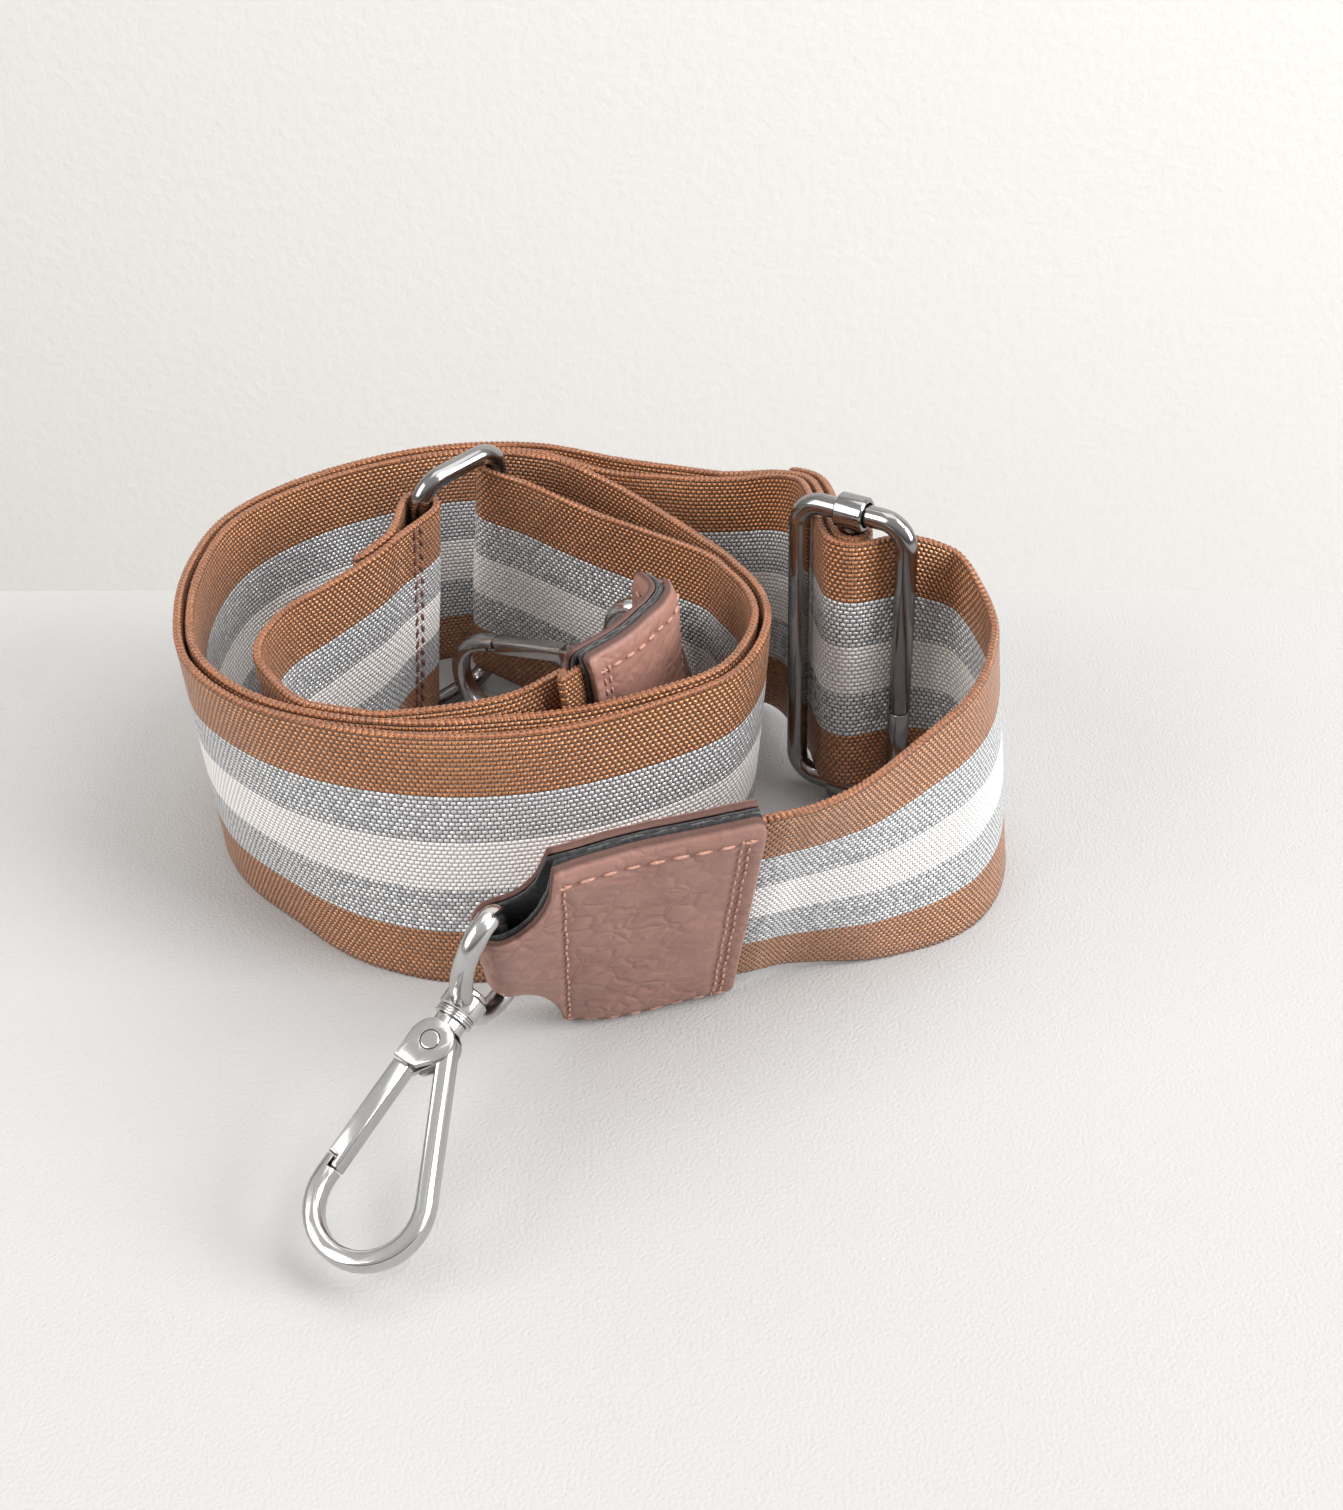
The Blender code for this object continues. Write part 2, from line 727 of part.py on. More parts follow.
def panel_route(middle, stack, wire_space):
    """Fold a panel round the eye: out on the left of the mid-plane and back on the right."""
    out = thinned(middle.offset(stack).part(0, tab_length), facet_length)
    back = thinned(middle.offset(-stack).part(0, tab_length), facet_length).reversed()
    bar, up = middle.places[-1], middle.ups[-1]
    fold = taut_route([(out.places[-1], out.ups[-1], 0), (bar, up, -wire_space),
                       (back.places[0], back.ups[0], 0)])[1]
    return join_bands([out, fold, back])


def lining_stack():
    """Return the distances of the lining's middle from the mid-plane and from the eye's bar."""
    beside = webbing_thickness / 2 + leather_gap + lining_thickness / 2
    return beside, eye_wire / 2 + fit_gap + lining_thickness / 2


def leather_over_lining():
    """Return the distance from the lining's middle to the leather's."""
    return lining_thickness / 2 + leather_gap + leather_thickness / 2


class Hook:
    """Frames of one swivel hook: at its eye's bar and at its gate pin."""

    def __init__(self, yaw, pitch, roll, tab_up):
        self.axis = turned(yaw, pitch)
        self.bar = unit(tab_up - self.axis * (tab_up @ self.axis))
        flat = unit(np.cross((0.0, 0.0, 1.0), self.axis))
        normal = np.cross(self.axis, flat)
        self.bulge = flat * math.cos(roll) + normal * math.sin(roll)
        self.place = None

    def frame(self, along, side):
        """Return the frame on the swivel axis at a distance from the bar, X along side."""
        across = np.cross(self.axis, side)
        spot = self.place + self.axis * along
        rows = [[side[k], across[k], self.axis[k], spot[k]] for k in range(3)]
        return Matrix([*rows, [0.0, 0.0, 0.0, 1.0]])


def prism(outline, near, far, name, bevel=0.0):
    """Extrude an outline given in X and Z from one Y to another and round its end edges."""
    bm = bmesh.new()
    loops = [[bm.verts.new((x, y, z)) for x, z in outline] for y in (near, far)]
    count = len(outline)
    for index in range(count):
        after = (index + 1) % count
        bm.faces.new((loops[0][index], loops[0][after], loops[1][after], loops[1][index]))
    ends = [bm.faces.new(loops[0]), bm.faces.new(loops[1])]
    bmesh.ops.recalc_face_normals(bm, faces=bm.faces)
    if bevel:
        edges = [edge for face in ends for edge in face.edges]
        bmesh.ops.bevel(bm, geom=edges, offset=bevel, offset_type="OFFSET", segments=2,
                        profile=0.5, affect="EDGES", clamp_overlap=True)
    return mesh_from(bm, name)


def disc_outline(radius, sides, centre=(0.0, 0.0)):
    """Return a circle's points in X and Z."""
    turns = [2 * math.pi * index / sides for index in range(sides)]
    return [(centre[0] + radius * math.cos(turn), centre[1] + radius * math.sin(turn))
            for turn in turns]


def turned_piece(profile, name, sides):
    """Spin a profile of radius and Z round the Z axis into a closed solid."""
    sections = []
    for index in range(sides):
        turn = 2 * math.pi * index / sides
        sections.append([(radius * math.cos(turn), radius * math.sin(turn), z)
                         for radius, z in profile])
    bm = bmesh.new()
    rings = [[bm.verts.new(point) for point in section] for section in zip(*sections)]
    for near, far in zip(rings, rings[1:]):
        for index in range(sides):
            after = (index + 1) % sides
            bm.faces.new((near[index], near[after], far[after], far[index]))
    bm.faces.new(rings[0])
    bm.faces.new(rings[-1])
    return mesh_from(bm, name)


def turned_tube(profile, name, sides):
    """Spin a closed profile that keeps off the Z axis into a ring."""
    sections = []
    for index in range(sides):
        turn = 2 * math.pi * index / sides
        sections.append([(radius * math.cos(turn), radius * math.sin(turn), z)
                         for radius, z in profile])
    return loft(sections, name, closed=True)


def carved(mesh, tools, operation, name):
    """Join meshes to a mesh, or cut them from it, with exact Booleans."""
    body = bpy.data.objects.new(name, mesh)
    bpy.context.collection.objects.link(body)
    helpers = []
    for index, tool in enumerate(tools):
        helper = bpy.data.objects.new(name + "_tool_" + str(index), tool)
        bpy.context.collection.objects.link(helper)
        helper.hide_render = True
        helper.display_type = "WIRE"
        modifier = body.modifiers.new(helper.name, "BOOLEAN")
        modifier.operation = operation
        modifier.solver = "EXACT"
        modifier.object = helper
        helpers.append(helper)
    bpy.context.view_layer.update()
    depsgraph = bpy.context.evaluated_depsgraph_get()
    result = bpy.data.meshes.new_from_object(body.evaluated_get(depsgraph))
    for thing in (body, *helpers):
        bpy.data.objects.remove(thing, do_unlink=True)
    result.name = name
    smooth_mesh(result)
    return result


def moved(mesh, matrix):
    """Place a mesh by a matrix and return it."""
    mesh.transform(matrix)
    return mesh


def lay_along_x():
    """Return the turn that lays the Z axis along X."""
    return Matrix.Rotation(math.pi / 2, 4, "Y")


def cylinder(radius, low, high, name, sides=32, bevel=0.0):
    """Return a cylinder about Z between two heights."""
    profile = [(radius, low), (radius, high)]
    if bevel:
        profile = [(radius - bevel, low), (radius, low + bevel), (radius, high - bevel),
                   (radius - bevel, high)]
    return turned_piece(profile, name, sides)


def slider_bar_mesh(slider):
    """Make the slider's centre bar with a band eye round each short side of the frame."""
    bore = slider_wire / 2 + fit_gap
    shell = bore + slider_eye_band
    rod = cylinder(slider_bar_wire / 2, bore + slider_eye_band / 2,
                   slider.height - bore - slider_eye_band / 2, "bar_rod", 24)
    eyes, bores = [], []
    for z in (0.0, slider.height):
        place = Matrix.Translation((0.0, 0.0, z)) @ lay_along_x()
        half = slider_eye_width / 2
        eyes.append(moved(cylinder(shell, -half, half, "bar_eye", 28, fit_gap), place))
        bores.append(moved(cylinder(bore, -half - cut_overrun, half + cut_overrun, "bore", 28), place))
    return carved(carved(rod, eyes, "UNION", "bar"), bores, "DIFFERENCE", "slider_bar")


def closed_spline(points, step):
    """Return a smooth closed curve through points, without its first place repeated."""
    curve = spline_through(points[-2:] + points + points[:3], step)
    hits = np.flatnonzero(np.linalg.norm(curve - np.array(points[0]), axis=1) < merge_distance)
    return curve[hits[0]:hits[-1]]


def swept_wire(path, radius, name, sides, closed):
    """Sweep a round wire along places in the XZ plane."""
    sections = []
    count = len(path)
    for index, (x, z) in enumerate(path):
        before = path[(index - 1) % count] if closed else path[max(index - 1, 0)]
        after = path[(index + 1) % count] if closed else path[min(index + 1, count - 1)]
        tangent = unit(np.array((after[0] - before[0], after[1] - before[1])))
        section = []
        for side in range(sides):
            angle = 2 * math.pi * side / sides
            reach = radius * math.cos(angle)
            section.append((x + tangent[1] * reach, radius * math.sin(angle), z - tangent[0] * reach))
        sections.append(section)
    return loft(sections, name, closed)


def eye_mesh():
    """Make a hook eye: a bar, two bowed sides and a bored hub, its bar along X."""
    half = [(share_x * eye_half_bar, eye_depth * (1 - share_z)) for share_z, share_x in eye_shares]
    inner = half[1:-1]
    loop = inner + [half[-1]] + [(-x, z) for x, z in reversed(inner)] + [half[0]]
    path = closed_spline(loop, eye_wire / 2)
    wire = swept_wire(path, eye_wire / 2, "eye", 14, True)
    hub_low = eye_depth - hub_inset
    hub_high = hub_low + hub_length
    hub = cylinder(hub_radius, hub_low, hub_high, "hub", 32, fit_gap)
    body = carved(wire, [hub], "UNION", "eye")
    room = post_head_radius + fit_gap
    recess = cylinder(room, hub_low - post_head_length - eye_wire, hub_low, "recess", 28)
    bore = cylinder(post_radius + turning_gap, hub_low - cut_overrun, hub_high + cut_overrun, "bore", 28)
    return carved(body, [recess, bore], "DIFFERENCE", "hook_eye")


def hub_end():
    """Return the distance from the eye's bar to the hub's outer face."""
    return eye_depth - hub_inset + hub_length


def hook_pin_distance():
    """Return the distance from the eye's bar to the gate pin."""
    return hub_end() + 2 * turning_gap + collar_length + head_neck_length + head_radius


def post_mesh():
    """Make the swivel post with its riveted head, along the swivel axis from the bar."""
    head_high = eye_depth - hub_inset - turning_gap
    head_low = head_high - post_head_length
    end = hook_pin_distance() - head_radius - head_neck_length + post_socket_depth - turning_gap / 2
    profile = [(post_head_radius - fit_gap, head_low), (post_head_radius, head_low + fit_gap),
               (post_head_radius, head_high), (post_radius, head_high), (post_radius, end)]
    return turned_piece(profile, "post", 28)


def collar_mesh():
    """Make the grooved washer between the hub and the hook's neck."""
    low = hub_end() + turning_gap
    high = low + collar_length
    inner = post_radius + turning_gap / 2
    rib = collar_length / 5
    outer, groove = collar_radius, collar_radius - collar_groove
    profile = [(inner, low), (outer, low), (outer, low + rib), (groove, low + rib),
               (groove, low + 2 * rib), (outer, low + 2 * rib), (outer, high - 2 * rib),
               (groove, high - 2 * rib), (groove, high - rib), (outer, high - rib),
               (outer, high), (inner, high)]
    return turned_tube(profile, "collar", 24)


def bow_lean():
    """Return half the angle between the bow's two straight sides."""
    return math.asin((bow_radius - head_radius) / bow_distance)


def bow_centre():
    """Return the bow's centre in X and Z from the gate pin."""
    return bow_distance * math.sin(bow_lean()), bow_distance * math.cos(bow_lean())


def bow_mesh():
    """Sweep the hook's spine, bow and nose with a rounded bar."""
    lean, radius = bow_lean(), bow_radius - bow_bar / 2
    centre = bow_centre()
    inset = head_radius - bow_bar / 2
    side = (math.cos(2 * lean), -math.sin(2 * lean))
    spots = [((inset * side[0], inset * side[1]), side)]
    for turn in np.linspace(-2 * lean, math.pi, 22):
        way = (math.cos(turn), math.sin(turn))
        spots.append(((centre[0] + radius * way[0], centre[1] + radius * way[1]), way))
    spots.append(((-inset, centre[1] - nose_length), (-1.0, 0.0)))
    shape = []
    wide, deep = bow_bar / 2 - bow_round, bow_thickness / 2 - bow_round
    for index, (sign_a, sign_b) in enumerate(((1, 1), (-1, 1), (-1, -1), (1, -1))):
        for turn in np.linspace(index * math.pi / 2, (index + 1) * math.pi / 2, 4):
            shape.append((sign_a * wide + bow_round * math.cos(turn),
                          sign_b * deep + bow_round * math.sin(turn)))
    sections = []
    for (x, z), way in spots:
        sections.append([(x + way[0] * a, b, z + way[1] * a) for a, b in shape])
    return loft(sections, "bow")


def hook_body_mesh():
    """Make the hook body: forked head, neck, spine, bow and stepped nose."""
    centre = bow_centre()
    half = head_thickness / 2
    head_end = gate_start - gate_seam
    arc = [(head_radius * math.cos(turn), head_radius * math.sin(turn))
           for turn in np.linspace(math.radians(40), -math.pi, 28)]
    outline = [(-head_radius, head_end), (head_bevel, head_end)] + arc
    head = prism(outline, -half, half, "head", head_bevel)
    neck_low = -head_radius - head_neck_length
    neck = cylinder(head_neck_radius, neck_low, -head_radius + head_neck_length, "neck", 28)
    body = carved(bow_mesh(), [head, neck], "UNION", "hook")

    slot = slot_width / 2
    root = [(-head_radius - cut_overrun, -slot_reach), (slot_reach, -slot_reach),
            (slot_reach, slot_reach), (gate_width / 3, gate_start + gate_eye_radius),
            (-head_radius - cut_overrun, gate_start + gate_eye_radius)]
    fork = prism(root, -slot, slot, "fork")
    hole = prism(disc_outline(pin_radius + pin_gap, 28), -half - cut_overrun, half + cut_overrun, "hole")
    socket = cylinder(post_radius + turning_gap / 2, neck_low - cut_overrun,
                      neck_low + post_socket_depth, "socket", 28)
    nose = centre[1] - nose_length
    middle = bow_bar / 2 - head_radius
    step = prism([(middle, nose - cut_overrun), (middle + bow_bar, nose - cut_overrun),
                  (middle + bow_bar, nose + gate_lap), (middle, nose + gate_lap)],
                 -bow_thickness, bow_thickness, "step")
    return carved(body, [fork, hole, socket, step], "DIFFERENCE", "hook_body")


def gate_mesh():
    """Make the gate: a rounded bar with a stepped end and a bored tongue."""
    nose = bow_centre()[1] - nose_length - gate_seam
    outer, inner = -head_radius, gate_width - head_radius
    middle = bow_bar / 2 - head_radius + gate_seam
    half = gate_thickness / 2
    bar = prism([(outer, gate_start), (inner, gate_start), (inner, nose + gate_lap),
                 (middle, nose + gate_lap), (middle, nose), (outer, nose)],
                -half, half, "gate_bar", gate_round)
    arc = [(gate_eye_radius * math.cos(turn), gate_eye_radius * math.sin(turn))
           for turn in np.linspace(math.radians(50), -math.pi, 24)]
    low = gate_tongue_low()
    tongue_end = gate_start + gate_round
    tongue = prism([(outer + fit_gap, tongue_end), (inner, tongue_end)] + arc,
                   low, low + gate_tongue, "tongue")
    hole = prism(disc_outline(pin_radius + turning_gap, 28), low - cut_overrun,
                 low + gate_tongue + cut_overrun, "gate_hole")
    return carved(carved(bar, [tongue], "UNION", "gate"), [hole], "DIFFERENCE", "gate")


def gate_tongue_low():
    """Return the side of the fork on which the tongue runs."""
    return turning_gap - slot_width / 2


def pin_mesh():
    """Make the gate pin across the fork."""
    half = head_thickness / 2 + pin_proud
    pin = cylinder(pin_radius, -half, half, "pin", 28, pin_proud)
    return moved(pin, Matrix.Rotation(math.pi / 2, 4, "X"))


def spring_mesh():
    """Wind the gate's torsion spring beside the tongue, and print its least gap to itself."""
    radius = pin_radius + fit_gap + spring_wire / 2
    pitch = spring_wire + spring_gap
    low = gate_tongue_low() + gate_tongue + turning_gap + spring_wire / 2
    first_leg = gate_start - fit_gap - spring_wire / 2
    last_leg = slot_reach - fit_gap - spring_wire / 2
    steps = int(spring_turns * 16)
    path = [np.array((-radius, low, first_leg * share)) for share in (1.0, 0.5)]
    for step in range(steps + 1):
        turn = math.pi + 2 * math.pi * spring_turns * step / steps
        path.append(np.array((radius * math.cos(turn), low + pitch * spring_turns * step / steps,
                              radius * math.sin(turn))))
    path += [np.array((radius, low + pitch * spring_turns, last_leg * share)) for share in (0.5, 1.0)]
    sections = []
    for index, place in enumerate(path):
        tangent = unit(path[min(index + 1, len(path) - 1)] - path[max(index - 1, 0)])
        out = np.array((place[0], 0.0, 0.0)) if not 1 < index < len(path) - 2 else (
            np.array((place[0], 0.0, place[2])))
        out = unit(out - tangent * (out @ tangent))
        other = np.cross(tangent, out)
        sections.append([place + (math.cos(turn) * out + math.sin(turn) * other) * spring_wire / 2
                         for turn in np.linspace(0.0, 2 * math.pi, 7)[:-1]])
    print("spring: least gap between turns", round(1000 * (pitch - spring_wire), 3), "mm")
    return loft(sections, "gate_spring")


def build_hook(side, hook, middle, share):
    """Build one swivel hook with its joint empties and return them."""
    hook.place = middle.places[-1] + hook.bar * (share - 0.5) * tab_height
    eye_axis = add_empty(side + "_eye_axis", hook.frame(0.0, hook.bar))
    body_frame = hook.frame(0.0, hook.bar).inverted() @ hook.frame(0.0, hook.bulge)
    swivel = add_empty(side + "_swivel_axis", body_frame, eye_axis)
    pin = Matrix.Translation((0.0, 0.0, hook_pin_distance()))
    gate_axis = add_empty(side + "_gate_axis", pin, swivel)
    add_object(side + "_hook_eye", eye_mesh(), "nickel", eye_axis)
    add_object(side + "_swivel_post", post_mesh(), "nickel", swivel)
    add_object(side + "_swivel_collar", collar_mesh(), "nickel", swivel)
    add_object(side + "_hook_body", moved(hook_body_mesh(), pin), "nickel", swivel)
    add_object(side + "_gate_pin", moved(pin_mesh(), pin), "nickel", swivel)
    add_object(side + "_gate_spring", moved(spring_mesh(), pin), "nickel", swivel)
    add_object(side + "_gate", gate_mesh(), "nickel", gate_axis)
    return eye_axis, gate_axis


def build_tab(side, middle):
    """Build one leather tab and its lining, folded round the hook eye."""
    lining = panel_route(middle, *lining_stack())
    for name, route, thickness, inset, material in (
            ("_leather_tab", lining.offset(leather_over_lining()), leather_thickness, 0.0, "leather"),
            ("_tab_lining", lining, lining_thickness, lining_inset, "lining")):
        width = TabWidth(lining.lengths[-1], inset)
        mesh = band_mesh(route, thickness, width, side + name, lining)
        add_object(side + name, mesh, material)


def least_own_gap(route):
    """Return the least gap between a webbing's layers, measured on points of its mid-line."""
    picked = thinned(route, layer_step())
    points, lengths = picked.places, picked.lengths
    least = webbing_width
    for index, point in enumerate(points):
        apart = np.abs(lengths - lengths[index]) > 4 * wrap_radius(slider_wire)
        if apart.any():
            least = min(least, np.linalg.norm(points[apart] - point, axis=1).min())
    return least - webbing_thickness


def settle():
    """Move everything so that the box's bottom centre is at the origin; return its size."""
    bpy.context.view_layer.update()
    corners = []
    for thing in bpy.data.objects:
        if thing.type == "MESH":
            places = np.empty(3 * len(thing.data.vertices))
            thing.data.vertices.foreach_get("co", places)
            turn = np.array(thing.matrix_world)
            corners.append(places.reshape(-1, 3) @ turn[:3, :3].T + turn[:3, 3])
    corners = np.vstack(corners)
    low, high = corners.min(axis=0), corners.max(axis=0)
    shift = Vector((-(low[0] + high[0]) / 2, -(low[1] + high[1]) / 2, -low[2]))
    for thing in bpy.data.objects:
        if thing.parent is None:
            thing.matrix_world = Matrix.Translation(shift) @ thing.matrix_world
    bpy.context.view_layer.update()
    print("shift in mm", [round(1000 * value, 3) for value in shift])
    return high - low


def report_places(empties):
    """Print each joint's place and axes in world metres, for the record."""
    for empty in empties:
        turn = empty.matrix_world
        axes = {name: [round(turn[row][column], 5) for row in range(3)]
                for column, name in enumerate("xyz")}
        print(empty.name, [round(value, 6) for value in turn.translation], axes)


def main():
    """Build the strap."""
    clear_scene()
    slider, ring = make_slider_loop(), make_ring_loop()
    tab_up = floor_rows([front_tab_start_shares]).ups[0]
    front = Hook(front_hook_yaw, front_hook_pitch, front_hook_roll, tab_up)
    front_middle = front_tab_middle(front.bar)
    rear_up = floor_rows([rear_bar_shares]).ups[0]
    rear = Hook(rear_hook_yaw, rear_hook_pitch, rear_hook_roll, rear_up)
    rear_middle = rear_tab_middle(rear.bar)

    long_route = long_webbing_route(slider, ring, front_middle)
    short_route = short_webbing_route(ring, rear_middle)
    for name, route in (("long_webbing", long_route), ("short_webbing", short_route)):
        mesh = band_mesh(route, webbing_thickness, EvenWidth(), name)
        add_object(name, mesh, "copper_webbing")
        print(name, "length", round(route.lengths[-1], 4), "m, least gap to itself",
              round(1000 * least_own_gap(route), 3), "mm")

    build_tab("front", front_middle)
    build_tab("rear", rear_middle)
    empties = [*build_hook("front", front, front_middle, front_bar_height_share),
               *build_hook("rear", rear, rear_middle, rear_bar_height_share)]

    frame_axis = add_empty("slider_axis", slider.frame)
    wire = loop_wire(slider, 1, slider.height * slider_joint_share)
    add_object("slider_frame", wire, "gunmetal", frame_axis)
    bar = add_object("slider_bar", slider_bar_mesh(slider), "gunmetal")
    bar.matrix_world = slider.frame
    left_bar = Matrix.Translation((-ring_pitch / 2, 0.0, 0.0))
    ring_axis = add_empty("ring_axis", ring.frame @ left_bar)
    wire = loop_wire(ring, -1, ring.height * ring_joint_share)
    add_object("adjuster_ring", moved(wire, left_bar.inverted()), "gunmetal", ring_axis)

    size = settle()
    print("size in mm", [round(1000 * value, 2) for value in size])
    report_places([*empties, frame_axis, ring_axis])


main()
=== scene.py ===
"""A striped webbing bag strap with leather tabs and swivel hooks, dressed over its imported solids."""
import json
import logging
import math
from dataclasses import dataclass, field
from enum import Enum
from typing import Any, Iterable, Sequence

import bmesh
import bpy
import numpy as np
from mathutils import Matrix, Vector


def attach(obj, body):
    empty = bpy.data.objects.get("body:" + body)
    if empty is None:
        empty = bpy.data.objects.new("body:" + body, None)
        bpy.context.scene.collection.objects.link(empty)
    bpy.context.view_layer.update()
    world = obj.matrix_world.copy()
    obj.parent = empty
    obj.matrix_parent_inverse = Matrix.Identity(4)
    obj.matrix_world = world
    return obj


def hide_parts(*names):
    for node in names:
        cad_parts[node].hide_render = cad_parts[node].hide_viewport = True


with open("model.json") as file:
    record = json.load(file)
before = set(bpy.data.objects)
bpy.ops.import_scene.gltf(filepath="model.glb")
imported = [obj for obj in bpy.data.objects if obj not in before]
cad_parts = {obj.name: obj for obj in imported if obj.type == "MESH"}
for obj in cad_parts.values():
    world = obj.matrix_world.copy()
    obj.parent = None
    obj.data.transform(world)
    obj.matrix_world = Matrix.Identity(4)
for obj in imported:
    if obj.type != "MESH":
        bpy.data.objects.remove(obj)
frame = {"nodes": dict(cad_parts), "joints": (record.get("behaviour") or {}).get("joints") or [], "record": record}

logging.basicConfig(level=logging.INFO, format="%(message)s")
log = logging.getLogger("bag_strap")

Colour = tuple[float, float, float]


# Routes

def unit(vector: Sequence[float]) -> np.ndarray:
    """Return a vector at length one."""
    vector = np.asarray(vector, float)
    return vector / np.linalg.norm(vector)


def spline_through(rows: np.ndarray, step: float) -> np.ndarray:
    """Run a centripetal Catmull-Rom curve through rows.

    Args:
        rows: Values to pass through, whose first three are a place.
        step: Distance between the curve's points, in metres.

    Returns:
        The curve's rows.
    """
    rows = np.asarray(rows, float)
    ring = np.vstack((2 * rows[0] - rows[1], rows, 2 * rows[-1] - rows[-2]))
    gaps = np.linalg.norm(np.diff(ring[:, :3], axis=0), axis=1)
    knots = np.concatenate(([0.0], np.cumsum(np.maximum(np.sqrt(gaps), 1e-6))))
    curve = [rows[0]]
    for index in range(1, len(ring) - 2):
        p0, p1, p2, p3 = ring[index - 1:index + 3]
        t0, t1, t2, t3 = knots[index - 1:index + 3]
        count = max(2, int(np.linalg.norm(p2[:3] - p1[:3]) / step))
        for t in np.linspace(t1, t2, count + 1)[1:]:
            a1 = ((t1 - t) * p0 + (t - t0) * p1) / (t1 - t0)
            a2 = ((t2 - t) * p1 + (t - t1) * p2) / (t2 - t1)
            a3 = ((t3 - t) * p2 + (t - t2) * p3) / (t3 - t2)
            b1 = ((t2 - t) * a1 + (t - t0) * a2) / (t2 - t0)
            b2 = ((t3 - t) * a2 + (t - t1) * a3) / (t3 - t1)
            curve.append(((t2 - t) * b1 + (t - t1) * b2) / (t2 - t1))
    return np.array(curve)


class Band:
    """A flat band's route: mid-line places and the direction of its width at each."""

    def __init__(self, places: Any, ups: Any) -> None:
        """Keep the places and turn the width directions to length one."""
        self.places = np.asarray(places, float)
        ups = np.asarray(ups, float)
        self.ups = ups / np.linalg.norm(ups, axis=1)[:, None]
        steps = np.linalg.norm(np.diff(self.places, axis=0), axis=1)
        self.lengths = np.concatenate(([0.0], np.cumsum(steps)))

    def tangents(self) -> np.ndarray:
        """Return the walking direction at each place."""
        ways = np.gradient(self.places, axis=0)
        return ways / np.linalg.norm(ways, axis=1)[:, None]

    def normals(self) -> np.ndarray:
        """Return the direction out of the band's left face at each place."""
        sides = np.cross(self.ups, self.tangents())
        return sides / np.linalg.norm(sides, axis=1)[:, None]

    def offset(self, distance: float) -> "Band":
        """Return the route moved to the left by a distance."""
        return Band(self.places + self.normals() * distance, self.ups)

    def raised(self, distance: float) -> "Band":
        """Return the route moved along its width direction."""
        return Band(self.places + self.ups * distance, self.ups)

    def shifted(self, shift: np.ndarray) -> "Band":
        """Return the route moved by a fixed step."""
        return Band(self.places + shift, self.ups)

    def part(self, start: float, end: float) -> "Band":
        """Return the stretch between two lengths along the route."""
        chosen = (self.lengths >= start) & (self.lengths <= end)
        return Band(self.places[chosen], self.ups[chosen])

    def reversed(self) -> "Band":
        """Return the same route walked the other way."""
        return Band(self.places[::-1], self.ups[::-1])

    def thinned(self, distance: float) -> "Band":
        """Return the route with places about a distance apart."""
        step = max(1, int(distance / SIZES.route_step))
        picked = list(range(0, len(self.places), step))
        return Band(self.places[picked], self.ups[picked])

    def stations(self, reach: float, turn: float) -> list[int]:
        """Pick indices along the route, closer together where it turns.

        Args:
            reach: Longest distance between two stations, in metres.
            turn: Largest change of direction between two, in radians.

        Returns:
            Indices into the route's places.
        """
        ways = self.tangents()
        kept = [0]
        for index in range(1, len(self.places) - 1):
            bend = math.acos(float(np.clip(ways[index] @ ways[kept[-1]], -1, 1)))
            if self.lengths[index] - self.lengths[kept[-1]] >= reach or bend >= turn:
                kept.append(index)
        return kept + [len(self.places) - 1]


